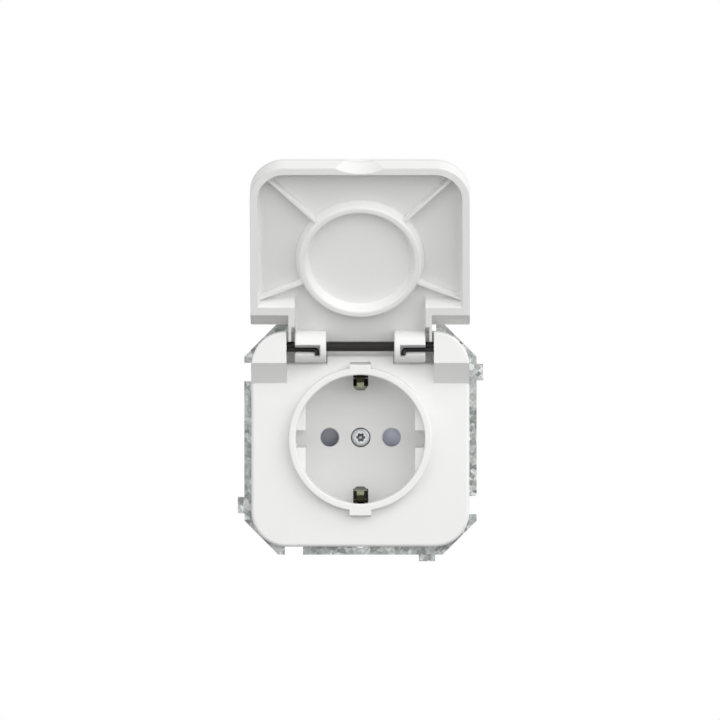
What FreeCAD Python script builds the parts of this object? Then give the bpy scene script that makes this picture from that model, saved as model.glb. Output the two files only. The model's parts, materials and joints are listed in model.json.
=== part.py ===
import FreeCAD, Part
import math
import os

# Flush-mounted outdoor socket with a hinged splash lid, in millimetres.
# X runs right, Z up and +Y into the wall. The origin is the socket's axis on the rear face of the
# support plate. The lid stands open at rest.

# Support plate
plate_side = 71.0
plate_thickness = 1.0
plate_corner_leg = 10.4
plate_opening_gap = 0.3
step_offset = 20.35
edge_tab_width = 5.0
edge_tab_reach = 2.0
edge_notch_width = 5.6
edge_notch_depth = 3.0
fixing_pitch = 60.0
fixing_slot_width = 4.2
fixing_slot_length = 7.0

# Cover plate and its cup
cover_width = 66.6
cover_height = 65.9
cover_centre_z = 0.05
cover_corner_radius = 10.7
cover_rise = 5.0
cover_skin = 2.0
cover_wall = 2.0
cover_edge_round = 1.0
cover_rib = 1.2
cover_rib_angles = (20, 70, 110, 160, 200, 250, 290, 340)
cover_rib_gap = 1.0
cup_radius = 19.7
cup_wall = 1.6
recess_depth = 17.5
recess_draft = 0.1
cup_floor = 2.0
collar_height = 3.0
collar_wall = 2.25
collar_edge_round = 0.5
collar_tab_width = 6.6
collar_tab_top_reach = 0.95
collar_tab_bottom_reach = 1.25
collar_tab_slope = 0.45
tab_groove_width = 0.65
tab_groove_length = 6.2
tab_groove_depth = 1.2
guide_reach = 3.0
guide_setback = 3.0
guide_notch_width = 5.25
pin_pitch = 19.0
pin_hole_radius = 2.8
pin_hole_chamfer = 0.3

# Earth clips and their slots
earth_slot_width = 4.3
earth_slot_inset = 3.8
earth_slot_outset = 1.2
earth_slot_wall_bite = 2.0
earth_slot_setback = 2.6
earth_housing_wall = 1.1
strap_thickness = 0.7
strap_bend = 0.8
strap_side_gap = 0.1
strap_arm_outset = 0.6
strap_nose_inset = 4.65
strap_nose_depth = 9.6
strap_nose_half = 0.9
strap_shoulder = 1.5
strap_tip_inset = 0.8
strap_tip_depth = 5.4
strap_tongue_width = 2.2
strap_nose_band = 1.3
strap_nose_chamfer = 0.9
strap_ear_width = 3.2
strap_ear_height = 0.6
strap_waist_end = 1.0
strap_seat_gap = 0.1
strap_room_depth = 2.0

# Hinge, set back from the cover's top edge and sides
axis_setback = 4.6
axis_rise = 2.7
rod_radius = 1.46
rod_gap = 0.06
rod_chamfer = 0.3
block_width = 10.8
block_face_setback = 9.5
block_height = 6.4
block_edge_round = 0.5
block_outer_wall = 1.0
barrel_radius = 4.9
barrel_length = 9.5
barrel_chamfer = 0.3
trough_gap = 0.3
trough_skin = 1.5
lip_side_setback = 9.65
lip_middle_setback = 7.2
lip_chamfer = 0.6

# Lid, measured from the hinge axis: along is towards the free end, out is away from the cover
open_angle = 155.7
lid_side_reach = 0.15
lid_end_reach = 0.2
lid_corner_radius = 10.8
lid_skin = 1.5
lid_closing_gap = 0.2
lid_rim = 2.25
lid_draft = 0.9
lid_root_round = 0.8
lid_edge_round = 0.8
wing_rim_start = 11.8
wing_face_start = 5.1
wing_wall_inner = 14.44
tongue_gap = 0.6
tongue_wall = 2.0
tongue_wall_start = 2.9
slit_width = 1.2
slit_end = 7.7
ridge_inset = 2.1
ridge_base_width = 4.3
ridge_tip_width = 2.0
ridge_height = 3.4
ridge_round = 0.8
lid_rib_width = 1.0
lid_rib_height = 2.75
upper_rib_angle = 45.0
lower_rib_angle = -22.2
scoop_width = 13.6
scoop_depth = 1.43

# Lid springs: round wire, one leg lying in the barrel's slot
wire_radius = 0.55
wire_sides = 10
wire_bend = 0.95
spring_radius = 2.4
spring_turns = 2
spring_pitch = 1.2
spring_inset = 1.1
spring_cavity_gap = 0.2
spring_cavity_length = 4.5
spring_seat_gap = 0.3
leg_angle = 204.3
hook_reach = 1.9
slot_tilt = 20.7
slot_upper = 1.15
slot_width = 2.4
slot_bottom = 1.15
slot_foot_width = 2.0
slot_foot_reach = 4.2
slot_end_wall = 1.8

# Socket base behind the support plate
well_gap = 0.4
base_wall = 2.8
base_depth = 28.5
base_chamfer = 0.8
partition_thickness = 1.5
post_radius = 5.0
boss_length = 1.5
ear_radius = 2.7
ear_reach = 4.0
ear_thickness = 3.5
base_cover_thickness = 1.8
base_cover_chamfer = 0.6
wire_hole_radius = 1.5
wire_hole_offset = 1.7
wire_hole_gap = 0.3
wire_hole_flare = 0.5

# Shutter
shutter_gap = 0.3
shutter_room_depth = 4.2
shutter_half_width = 14.7
shutter_top = 8.3
shutter_bottom = -10.2
shutter_travel = 6.5
shutter_ramp_rise = 3.2
shutter_ramp_margin = 0.4
shutter_ramp_edge = 0.2
shutter_plate = 1.4
shutter_window_wall = 0.9
shutter_top_wall = 1.5
window_half_width = 3.1
spring_room_wall = 2.5
spring_room_half_width = 5.6
leaf_half_width = 4.4
leaf_thickness = 0.35
leaf_height = 2.4
leaf_folds = 4
leaf_bend = 0.5
leaf_gap = 0.2

# Contacts and terminals
sleeve_radius = 2.6
sleeve_wall = 0.7
sleeve_rear_gap = 4.0
sleeve_slit = 1.6
tail_thickness = 0.8
tail_width = 4.4
earth_tail_width = 4.0
contact_front_gap = 0.2
tail_gap = 0.1
clamp_inner = 15.2
clamp_outer = 21.0
clamp_wall = 0.9
clamp_half_width = 3.5
clamp_length = 5.8
clamp_rear_gap = 0.3
clamp_gap = 0.2
clamp_corner_round = 0.5
earth_clamp_inner = 10.4
terminal_thread_radius = 1.5
terminal_head_radius = 2.6
terminal_head_length = 2.2
screw_slot_width = 0.8
screw_slot_depth = 0.9
screw_end_gap = 0.6
head_sink = 0.5

# Seal, rivets and screws
seal_width = 1.4
seal_gap = 0.4
seal_groove = 0.5
rivet_radius = 1.4
rivet_head_radius = 1.7
rivet_head_length = 0.8
rivet_head_chamfer = 0.4
centre_screw_radius = 1.5
centre_head_radius = 2.6
centre_head_length = 1.6
centre_head_round = 0.5
centre_tip_chamfer = 0.4
lobe_count = 6
lobe_radius = 0.4
lobe_offset = 1.05
lobe_depth = 1.0
centre_counterbore = 3.0
centre_screw_length = 10.0
cover_screw_x = 12.0
cover_screw_z = 14.0
cover_screw_radius = 1.4
cover_screw_length = 7.0
cover_screw_head = 2.5
cover_screw_head_length = 1.5
cover_screw_head_chamfer = 0.5
cross_half_length = 1.5
cross_half_width = 0.35
cross_depth = 0.8
hole_gap = 0.1

# Places worked out from the sizes above. y is measured from the support plate's rear face.
plate_front = -plate_thickness
cover_front = plate_front - cover_rise
cover_low = cover_centre_z - cover_height / 2
cover_high = cover_centre_z + cover_height / 2
collar_face = cover_front - collar_height
recess_floor = collar_face + recess_depth
cup_rear = recess_floor + cup_floor
cup_outer = cup_radius + cup_wall
collar_outer = cup_radius + collar_wall
collar_tab_top = collar_outer + collar_tab_top_reach
collar_tab_bottom = collar_outer + collar_tab_bottom_reach
guide_offset = cup_radius - guide_reach
earth_slot_inner = cup_radius - earth_slot_inset
earth_slot_outer = cup_radius + earth_slot_outset
strap_arm_radius = cup_radius + strap_arm_outset
strap_nose_radius = cup_radius - strap_nose_inset
strap_tip_radius = cup_radius - strap_tip_inset
ridge_radius = cup_radius - ridge_inset
housing_outer = earth_slot_outer + earth_housing_wall
opening_radius = housing_outer + plate_opening_gap
ear_offset = opening_radius + ear_reach
pin_x = pin_pitch / 2
axis_y = cover_front - axis_rise
axis_height = cover_high - axis_setback
trough_floor = axis_y + barrel_radius + trough_gap
block_face = cover_front - block_height
block_face_z = cover_high - block_face_setback
lip_side_z = cover_high - lip_side_setback
lip_middle_z = cover_high - lip_middle_setback
block_inner = cover_width / 2 - block_width
tongue_half_width = block_inner - tongue_gap
barrel_outer = tongue_half_width - tongue_wall
barrel_inner = barrel_outer - barrel_length
slot_inner = barrel_inner + slot_end_wall
lid_width = cover_width + 2 * lid_side_reach
lid_length = axis_height - cover_low + lid_end_reach
spring_cavity = spring_radius + wire_radius + spring_cavity_gap
cavity_end = block_inner + spring_cavity_length
well_radius = cup_outer + well_gap
base_radius = well_radius + base_wall
well_floor = cup_rear + shutter_gap
post_front = cup_rear + boss_length
partition_front = well_floor + shutter_room_depth
partition_rear = partition_front + partition_thickness
spring_room_top = earth_slot_outer - spring_room_wall
sleeve_end = base_depth - sleeve_rear_gap
clamp_back = base_depth - clamp_rear_gap
clamp_front = clamp_back - clamp_length
screw_axis_depth = (clamp_front + clamp_back) / 2
rim_out = lid_closing_gap - axis_rise
half_slot = earth_slot_width / 2
strap_half_width = half_slot - strap_side_gap
half_housing = collar_tab_width / 2
lip_half_width = barrel_inner - trough_gap

FAR = 100.0
CIRCLE = "Part::GeomCircle"
ACROSS = FreeCAD.Vector(1, 0, 0)
INWARD = FreeCAD.Vector(0, 1, 0)
UPWARD = FreeCAD.Vector(0, 0, 1)


def block(x0, x1, y0, y1, z0, z1):
    corner = FreeCAD.Vector(min(x0, x1), min(y0, y1), min(z0, z1))
    return Part.makeBox(abs(x1 - x0), abs(y1 - y0), abs(z1 - z0), corner)


def drum_y(radius, y0, y1, x=0.0, z=0.0):
    return Part.makeCylinder(radius, y1 - y0, FreeCAD.Vector(x, y0, z), INWARD)


def drum_x(radius, x0, x1, y=0.0, z=0.0):
    return Part.makeCylinder(radius, abs(x1 - x0), FreeCAD.Vector(min(x0, x1), y, z), ACROSS)


def profile_along_x(points, x0, x1):
    """Extrude a closed outline of (y, z) points from x0 to x1."""
    corners = [FreeCAD.Vector(min(x0, x1), y, z) for y, z in points]
    face = Part.Face(Part.makePolygon(corners + corners[:1]))
    return face.extrude(FreeCAD.Vector(abs(x1 - x0), 0, 0))


def profile_along_y(points, y0, y1):
    """Extrude a closed outline of (x, z) points from y0 to y1."""
    corners = [FreeCAD.Vector(x, y0, z) for x, z in points]
    face = Part.Face(Part.makePolygon(corners + corners[:1]))
    return face.extrude(FreeCAD.Vector(0, y1 - y0, 0))


def rounded_path(points, radius):
    """List the straight runs through the points, with an arc of this radius at each corner."""
    edges = []
    start = points[0]
    for before, corner, after in zip(points, points[1:], points[2:]):
        into = (corner - before).normalize()
        out = (after - corner).normalize()
        half_turn = into.getAngle(out) / 2
        reach = radius * math.tan(half_turn)
        middle = corner + (out - into).normalize() * (radius / math.cos(half_turn) - radius)
        edges.append(Part.LineSegment(start, corner - into * reach).toShape())
        start = corner + out * reach
        edges.append(Part.Arc(corner - into * reach, middle, start).toShape())
    if start.distanceToPoint(points[-1]) > 1e-6:
        edges.append(Part.LineSegment(start, points[-1]).toShape())
    return edges


def bent_strip(points, across, width, thickness, bend):
    """Sweep a flat strip along a path; across is the direction of its width."""
    run = (points[1] - points[0]).normalize()
    side = across * (width / 2)
    up = run.cross(across) * (thickness / 2)
    corners = [points[0] + side + up, points[0] - side + up, points[0] - side - up, points[0] + side - up]
    section = Part.makePolygon(corners + corners[:1])
    return Part.Wire(rounded_path(points, bend)).makePipeShell([section], True)


def many_sided(centre, normal, radius, sides):
    """A closed regular outline round a point, square to a normal that has no X part."""
    up = normal.cross(ACROSS)
    turns = [2 * math.pi * (count + 0.5) / sides for count in range(sides)]
    corners = [centre + (ACROSS * math.cos(turn) + up * math.sin(turn)) * radius for turn in turns]
    return Part.makePolygon(corners + corners[:1])


def edges_along(shape, direction):
    """List the straight edges that run along a direction."""
    return [
        edge
        for edge in shape.Edges
        if edge.Curve.TypeId == "Part::GeomLine" and abs(edge.Curve.Direction.dot(direction)) > 0.999
    ]


def rounded_slab(half_width, low, high, radius, y0, y1):
    """Make a plate with four rounded corners, between two depths."""
    slab = block(-half_width, half_width, y0, y1, low, high)
    return slab.makeFillet(radius, edges_along(slab, INWARD))


def edges_at_depth(shape, depth):
    """List the edges that lie in one plane of constant y."""
    return [e for e in shape.Edges if all(abs(v.Y - depth) < 1e-6 for v in e.Vertexes) and
            abs(e.BoundBox.YMax - e.BoundBox.YMin) < 1e-6]


def joined(shapes):
    """Fuse the shapes into one solid with its seams removed."""
    first, *others = shapes
    return first.multiFuse(others).removeSplitter() if others else first


def mirrored_x(shape):
    return shape.mirror(FreeCAD.Vector(0, 0, 0), ACROSS)


def mirrored_z(shape):
    return shape.mirror(FreeCAD.Vector(0, 0, 0), UPWARD)


def both_sides(shape):
    return [shape, mirrored_x(shape)]


# Cover plate

def cup_blank():
    """The cup's outside with its collar, clip housings and collar tabs."""
    collar = drum_y(collar_outer, collar_face, cover_front + cover_skin)
    collar = collar.makeFillet(collar_edge_round, edges_at_depth(collar, collar_face))
    pieces = [collar, drum_y(cup_outer, cover_front, cup_rear), drum_y(post_radius, cup_rear, post_front)]
    for reach, slope, sign in ((collar_tab_top, 0, 1), (collar_tab_bottom, collar_tab_slope, -1)):
        foot = reach + slope
        tab = [(collar_face, 0), (collar_face, sign * reach), (cover_front, sign * foot), (cover_front, 0)]
        pieces.append(profile_along_x(tab, -half_housing, half_housing))
        pieces.append(block(-half_housing, half_housing, cover_front, cup_rear, 0, sign * housing_outer))
    return pieces


def recess():
    """The space inside the cup: a straight mouth, a drafted wall, and the two side guides left standing."""
    mouth_end = collar_face + earth_slot_setback
    mouth = drum_y(cup_radius, collar_face - 1, mouth_end)
    start = FreeCAD.Vector(0, mouth_end, 0)
    wall = Part.makeCone(cup_radius, cup_radius - recess_draft, recess_floor - mouth_end, start, INWARD)
    space = mouth.fuse(wall)
    guide = block(guide_offset, FAR, collar_face + guide_setback, recess_floor, -FAR, FAR)
    half_notch = guide_notch_width / 2
    guide = guide.cut(block(0, FAR, collar_face, recess_floor, -half_notch, half_notch))
    return space.cut(Part.makeCompound(both_sides(guide)))


def recess_mouth_round():
    """The ring of material that the collar's inner edge loses to its rounding."""
    ring = drum_y(cup_radius + collar_edge_round, collar_face, collar_face + collar_edge_round)
    centre = FreeCAD.Vector(0, collar_face + collar_edge_round, 0)
    torus = Part.makeTorus(cup_radius + collar_edge_round, collar_edge_round, centre, INWARD)
    return ring.cut(torus)


def floor_holes():
    """Pin holes, the centre screw's hole and the slots for the earth clips."""
    holes = [
        drum_y(centre_counterbore, recess_floor - 1, cup_rear),
        drum_y(centre_screw_radius + hole_gap, recess_floor, post_front + 1),
    ]
    for x in (-pin_x, pin_x):
        holes.append(drum_y(pin_hole_radius, recess_floor - 1, cup_rear + 1, x))
        mouth = Part.makeCone(
            pin_hole_radius + pin_hole_chamfer,
            pin_hole_radius,
            pin_hole_chamfer,
            FreeCAD.Vector(x, recess_floor, 0),
            INWARD,
        )
        holes.append(mouth)
    slot = block(-half_slot, half_slot, recess_floor - 1, cup_rear + 1, earth_slot_inner, earth_slot_outer)
    wall_start = cup_radius - earth_slot_wall_bite
    mouth_end = collar_face + earth_slot_setback
    wall = block(-half_slot, half_slot, mouth_end, cup_rear + 1, wall_start, earth_slot_outer)
    for cut in (slot, wall):
        holes += [cut, mirrored_z(cut)]
    return holes


def hinge_block():
    """The right-hand hinge block, hollow from behind for the spring's coil."""
    rear = cover_front + cover_skin
    body = rounded_slab(cover_width / 2, cover_low, cover_high, cover_corner_radius, block_face, rear)
    body = body.makeFillet(block_edge_round, edges_at_depth(body, block_face))
    foot_z = block_face_z - block_height
    wedge = [
        (block_face - 1, block_face_z + 1),
        (cover_front, foot_z),
        (rear, foot_z),
        (rear, FAR),
        (block_face - 1, FAR),
    ]
    keep = profile_along_x(wedge, block_inner, FAR)
    return body.common(keep)


def spring_cavity_space():
    """The coil's room in the right-hand block: a round pocket with a channel open to the rear."""
    pocket = drum_x(spring_cavity, block_inner - 1, cavity_end, axis_y, axis_height)
    low = axis_height - spring_cavity
    high = axis_height + spring_cavity
    channel = block(block_inner + cover_wall, cavity_end, axis_y, plate_front + 1, low, high)
    return pocket.fuse(channel)


def trough():
    """The space cut from the cover's top edge for the lid's barrels and tongue."""
    cuts = []
    for half_width, lip in ((block_inner, lip_side_z), (lip_half_width, lip_middle_z)):
        outline = [
            (trough_floor, FAR),
            (trough_floor, lip),
            (cover_front + lip_chamfer, lip),
            (cover_front, lip - lip_chamfer),
            (-FAR, lip - lip_chamfer),
            (-FAR, FAR),
        ]
        cuts.append((half_width, outline))
    (side_half, side_outline), (middle_half, middle_outline) = cuts
    right = profile_along_x(side_outline, middle_half, side_half)
    middle = profile_along_x(middle_outline, -middle_half, middle_half)
    return both_sides(right) + [middle]


def trough_backing():
    """The wall that stays behind and below the trough when the cover is hollowed."""
    rear = trough_floor + trough_skin
    front = cover_front + cover_skin
    half = block_inner + trough_skin
    half_middle = lip_half_width - trough_skin
    sides = block(-half, half, front, rear, lip_side_z - trough_skin, FAR)
    middle = block(-half_middle, half_middle, front, rear, 0, lip_middle_z - trough_skin)
    return sides.cut(middle)


def cover_hollow():
    """The space behind the cover's front skin, between the cup and the side walls."""
    half = cover_width / 2 - cover_wall
    low = cover_low + cover_wall
    high = cover_high - cover_wall
    inner_radius = cover_corner_radius - cover_wall
    space = rounded_slab(half, low, high, inner_radius, cover_front + cover_skin, plate_front + 1)
    kept = [drum_y(cup_outer, cover_front, cup_rear), trough_backing()]
    kept.append(block(-half_housing, half_housing, cover_front, cup_rear, -housing_outer, housing_outer))
    rib_start = opening_radius + seal_gap + seal_width + cover_rib_gap
    for angle in cover_rib_angles:
        rib = block(rib_start, FAR, cover_front, plate_front - cover_rib_gap, -cover_rib / 2, cover_rib / 2)
        kept.append(rib.rotate(FreeCAD.Vector(0, 0, 0), INWARD, -angle))
    return space.cut(Part.makeCompound(kept[:3])).cut(Part.makeCompound(kept[3:]))


def cover_plate():
    half = cover_width / 2
    slab = rounded_slab(half, cover_low, cover_high, cover_corner_radius, cover_front, plate_front)
    slab = slab.makeFillet(cover_edge_round, edges_at_depth(slab, cover_front))
    hinge = hinge_block()
    plate = joined([slab] + both_sides(hinge) + cup_blank())
    hollow = cover_hollow().cut(Part.makeCompound(both_sides(hinge)))
    groove = block(
        -tab_groove_length / 2,
        tab_groove_length / 2,
        cover_front - 1,
        cover_front + tab_groove_depth,
        collar_tab_top,
        collar_tab_top + tab_groove_width,
    )
    bore_radius = rod_radius + rod_gap
    rod_room = drum_x(bore_radius, rod_left_end() - hole_gap, FAR, axis_y, axis_height)
    cavity = spring_cavity_space()
    cuts = [hollow, recess(), recess_mouth_round(), groove, rod_room] + both_sides(cavity)
    return plate.cut(cuts + trough() + floor_holes()).removeSplitter()


# Hinge rod and lid springs

def block_end_at_axis():
    """How far out the block's rounded side stands at the height of the hinge axis."""
    corner_z = cover_high - cover_corner_radius
    corner_x = cover_width / 2 - cover_corner_radius
    return corner_x + math.sqrt(cover_corner_radius ** 2 - (axis_height - corner_z) ** 2)


def rod_left_end():
    return -(block_end_at_axis() - block_outer_wall)


def hinge_rod():
    right_end = block_end_at_axis() - block_outer_wall / 2
    rod = drum_x(rod_radius, rod_left_end(), right_end, axis_y, axis_height)
    return rod.makeChamfer(rod_chamfer, [e for e in rod.Edges if e.Curve.TypeId == CIRCLE])


def slot_directions():
    """Unit (y, z) vectors out of the barrel's slot and across it, with the lid open."""
    tilt = math.radians(slot_tilt)
    out = (-math.cos(tilt), math.sin(tilt))
    across = (-math.sin(tilt), -math.cos(tilt))
    return out, across


def coil_start():
    """The right-hand coil's first angle, its slope, its first point and its direction there."""
    slope = math.atan(spring_pitch / (2 * math.pi * spring_radius))
    lead = wire_bend * (1 - math.sin(slope))
    angle = math.radians(leg_angle) + math.atan(lead / spring_radius)
    radial = FreeCAD.Vector(0, math.cos(angle), math.sin(angle))
    tangent = ACROSS.cross(radial)
    point = FreeCAD.Vector(block_inner + spring_inset, axis_y, axis_height) + radial * spring_radius
    return angle, point, ACROSS * math.sin(slope) + tangent * math.cos(slope)


def lid_spring():
    """The right-hand spring: a hook and leg in the barrel's slot, a coil in the block and a fixed leg."""
    angle, first, direction = coil_start()
    last_angle = math.radians(270 + 360 * spring_turns)
    length = spring_pitch * (last_angle - angle) / (2 * math.pi)
    coil = Part.makeHelix(spring_pitch, length, spring_radius)
    coil.rotate(FreeCAD.Vector(0, 0, 0), FreeCAD.Vector(1, 1, 1), 120)
    coil.rotate(FreeCAD.Vector(0, 0, 0), ACROSS, math.degrees(angle))
    coil.translate(FreeCAD.Vector(first.x, axis_y, axis_height))
    turn = math.acos(ACROSS.dot(direction))
    bend_corner = first - direction * (wire_bend * math.tan(turn / 2))
    hook_corner = FreeCAD.Vector(slot_inner + slot_foot_width / 2, bend_corner.y, bend_corner.z)
    across = FreeCAD.Vector(0, *slot_directions()[1])
    hook_end = hook_corner + across * hook_reach
    last = FreeCAD.Vector(first.x + length, axis_y, axis_height - spring_radius)
    seat = FreeCAD.Vector(last.x, plate_front - spring_seat_gap, last.z)
    edges = rounded_path([hook_end, hook_corner, bend_corner, first], wire_bend)
    edges += coil.Edges + [Part.LineSegment(last, seat).toShape()]
    path = Part.Wire(Part.sortEdges(edges)[0])
    section = many_sided(hook_end, across, wire_radius, wire_sides)
    return path.makePipeShell([section], True)


# Lid, built in its closed frame round the hinge axis, then turned open

def lid_block(x0, x1, along0, along1, out0, out1):
    return block(x0, x1, -out1, -out0, -along1, -along0)


def lid_profile(points, x0, x1):
    """Extrude a closed outline of (along, out) points across the lid."""
    return profile_along_x([(-out, -along) for along, out in points], x0, x1)


def lid_blank():
    """A slab of the lid's outline, rounded at its free end only."""
    slab = lid_block(-lid_width / 2, lid_width / 2, 0, lid_length, rim_out, barrel_radius)
    far_edges = [e for e in edges_along(slab, INWARD) if e.BoundBox.ZMax < 0.01 - lid_length]
    return slab.makeFillet(lid_corner_radius, far_edges)


def tray_outline(inset, along_start, out):
    """The tray's closed outline at one height, rounded at its free end only."""
    half = lid_width / 2 - inset
    end = lid_length - inset
    corner = lid_corner_radius - inset
    bulge = corner * (1 - math.sqrt(0.5))

    def point(x, along):
        return FreeCAD.Vector(x, -out, -along)

    straights = [
        (point(-half + corner, end), point(half - corner, end)),
        (point(half, end - corner), point(half, along_start)),
        (point(half, along_start), point(-half, along_start)),
        (point(-half, along_start), point(-half, end - corner)),
    ]
    edges = [Part.LineSegment(start, stop).toShape() for start, stop in straights]
    for side in (-1, 1):
        middle = point(side * (half - bulge), end - bulge)
        arc = Part.Arc(point(side * half, end - corner), middle, point(side * (half - corner), end))
        edges.append(arc.toShape())
    return Part.Wire(Part.sortEdges(edges)[0])


def tray_hollow():
    """The tray's inside, drafted towards its floor and rounded at its root."""
    floor = barrel_radius - lid_skin
    outlines = []
    for out in (rim_out - 1, floor):
        lean = lid_draft * (out - rim_out) / (floor - rim_out)
        outlines.append(tray_outline(lid_rim + lean, wing_wall_inner + lean, out))
    space = Part.makeLoft(outlines, True, True)
    return space.makeFillet(lid_root_round, edges_at_depth(space, -floor))


def tongue_hollow():
    """The inside of the tongue, open towards the tray and rounded at its root."""
    floor = barrel_radius - lid_skin
    half = tongue_half_width - tongue_wall
    end = wing_wall_inner + lid_draft + lid_root_round
    space = lid_block(-half, half, -1, end, rim_out - 1, floor)
    roots = [e for e in edges_along(space, UPWARD) if abs(e.BoundBox.YMin + floor) < 1e-6]
    return space.makeFillet(lid_root_round, roots)


def wing_cut():
    """The space below the right-hand wing's bevelled end, clear of the hinge block."""
    rise = (wing_face_start - wing_rim_start) / (barrel_radius - rim_out)
    over = 1.0
    low = (wing_rim_start - rise * over, rim_out - over)
    high = (wing_face_start + rise * over, barrel_radius + over)
    return lid_profile([low, high, (-FAR, high[1]), (-FAR, low[1])], tongue_half_width, FAR)


def tongue_end_cut():
    """What is cleared beside and between the barrels at the tongue's hinge end."""
    side = lid_block(barrel_outer, FAR, -FAR, tongue_wall_start, -FAR, FAR)
    middle = lid_block(-barrel_outer, barrel_outer, -FAR, 0, -FAR, FAR)
    slit = lid_block(barrel_outer, barrel_outer + slit_width, 0, slit_end, -FAR, barrel_radius - lid_skin)
    return both_sides(side) + both_sides(slit) + [middle]


def sealing_ridge():
    """The tapered ring that closes on the collar's mouth."""
    floor = barrel_radius - lid_skin
    tip = floor - ridge_height
    base = ridge_base_width / 2
    crest = ridge_tip_width / 2
    points = [
        (ridge_radius - base, floor + lid_skin / 2),
        (ridge_radius - base, floor),
        (ridge_radius - crest, tip),
        (ridge_radius + crest, tip),
        (ridge_radius + base, floor),
        (ridge_radius + base, floor + lid_skin / 2),
    ]
    corners = [FreeCAD.Vector(radius, -out, -axis_height) for radius, out in points]
    face = Part.Face(Part.makePolygon(corners + corners[:1]))
    ring = face.revolve(FreeCAD.Vector(0, 0, -axis_height), INWARD, 360)
    tip_edges = [e for e in edges_at_depth(ring, -tip) if e.Curve.TypeId == CIRCLE]
    return ring.makeFillet(ridge_round, tip_edges)


def lid_rib(angle, length):
    """A straight rib on the lid's floor from the ridge out to the rim."""
    floor = barrel_radius - lid_skin
    front = lid_rib_height - floor
    rear = -(floor + lid_skin / 2)
    rib = block(ridge_radius, length, rear, front, -lid_rib_width / 2, lid_rib_width / 2)
    rib = rib.rotate(FreeCAD.Vector(0, 0, 0), INWARD, angle)
    return rib.translate(FreeCAD.Vector(0, 0, -axis_height))


def finger_scoop():
    """The shallow hollow at the free end's rim, fading out towards the outer face."""
    radius = (scoop_width ** 2 / 4 + scoop_depth ** 2) / (2 * scoop_depth)
    start = FreeCAD.Vector(0, -rim_out, -(lid_length - scoop_depth + radius))
    end = FreeCAD.Vector(0, -barrel_radius, -(lid_length + radius))
    run = end - start
    return Part.makeCylinder(radius, run.Length * 2, start - run * 0.5, run)


def barrel_slot():
    """The L-shaped slot in the right-hand barrel, in the open lid's place."""
    out, across = slot_directions()
    slots = []
    for x0, x1, low, high in (
        (slot_inner, barrel_outer + 1, slot_upper, slot_upper + slot_width),
        (slot_inner, slot_inner + slot_foot_width, slot_upper, slot_foot_reach),
    ):
        points = []
        for depth, offset in ((slot_bottom, low), (FAR / 2, low), (FAR / 2, high), (slot_bottom, high)):
            y = axis_y + out[0] * depth + across[0] * offset
            z = axis_height + out[1] * depth + across[1] * offset
            points.append((y, z))
        slots.append(profile_along_x(points, x0, x1))
    return slots


def opened(shape):
    """Turn a shape from the closed frame round the hinge axis to the open lid's place."""
    turned = shape.rotate(FreeCAD.Vector(0, 0, 0), ACROSS, -open_angle)
    return turned.translate(FreeCAD.Vector(0, axis_y, axis_height))


def lid():
    outer = lid_blank()
    face_edges = [e for e in edges_at_depth(outer, -barrel_radius) if e.BoundBox.ZMin < -1]
    outer = outer.makeFillet(lid_edge_round, face_edges)
    shell = outer.cut([tray_hollow(), tongue_hollow()] + both_sides(wing_cut()) + tongue_end_cut())
    inner_half = lid_width / 2 - lid_rim / 2
    lower_length = inner_half / math.cos(math.radians(lower_rib_angle))
    corner_centre = lid_width / 2 - lid_corner_radius
    upper_length = corner_centre * math.sqrt(2) + lid_corner_radius - lid_rim / 2
    details = [sealing_ridge()]
    for angle, length in ((upper_rib_angle, upper_length), (lower_rib_angle, lower_length)):
        details += both_sides(lid_rib(angle, length))
    barrel = drum_x(barrel_radius, barrel_inner, barrel_outer)
    barrel = barrel.makeChamfer(barrel_chamfer, [e for e in barrel.Edges if e.Curve.TypeId == CIRCLE])
    pieces = [shell] + details + both_sides(barrel)
    body = joined(pieces).cut([finger_scoop(), drum_x(rod_radius + rod_gap, -FAR, FAR)])
    body = opened(body)
    slots = [cut for slot in barrel_slot() for cut in both_sides(slot)]
    return body.cut(slots).removeSplitter()


# Support plate, seal and rivets

def edge_step(turn, tab_side):
    """One edge's tab and notch, made on the right edge and turned to its own edge."""
    half = plate_side / 2
    tab_z = step_offset * tab_side
    tab_half = edge_tab_width / 2
    notch_half = edge_notch_width / 2
    tab = block(half - 1, half + edge_tab_reach, plate_front, 0, tab_z - tab_half, tab_z + tab_half)
    notch = block(half - edge_notch_depth, half + 1, plate_front - 1, 1,
                  -tab_z - notch_half, -tab_z + notch_half)
    centre = FreeCAD.Vector(0, 0, 0)
    return tab.rotate(centre, INWARD, turn), notch.rotate(centre, INWARD, turn)


def fixing_slot(turn):
    """One slotted hole, on the right side and turned to its own side."""
    radius = fixing_slot_width / 2
    reach = fixing_slot_length / 2 - radius
    middle = fixing_pitch / 2
    slot = joined([
        drum_y(radius, plate_front - 1, 1, middle - reach),
        drum_y(radius, plate_front - 1, 1, middle + reach),
        block(middle - reach, middle + reach, plate_front - 1, 1, -radius, radius),
    ])
    return slot.rotate(FreeCAD.Vector(0, 0, 0), INWARD, turn)


def ear_places():
    spread = ear_offset / math.sqrt(2)
    return [(x, z) for x in (-spread, spread) for z in (-spread, spread)]


def support_plate():
    half = plate_side / 2
    plate = block(-half, half, plate_front, 0, -half, half)
    plate = plate.makeChamfer(plate_corner_leg, edges_along(plate, INWARD))
    steps = [edge_step(turn, 1) for turn in (0, 90, 180, 270)]
    holes = [drum_y(opening_radius, plate_front - 1, 1)]
    holes += [fixing_slot(turn) for turn in (0, 90, 180, 270)]
    holes += [drum_y(rivet_radius + hole_gap, plate_front - 1, 1, x, z) for x, z in ear_places()]
    return joined([plate] + [tab for tab, notch in steps]).cut(holes + [notch for tab, notch in steps])


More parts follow.
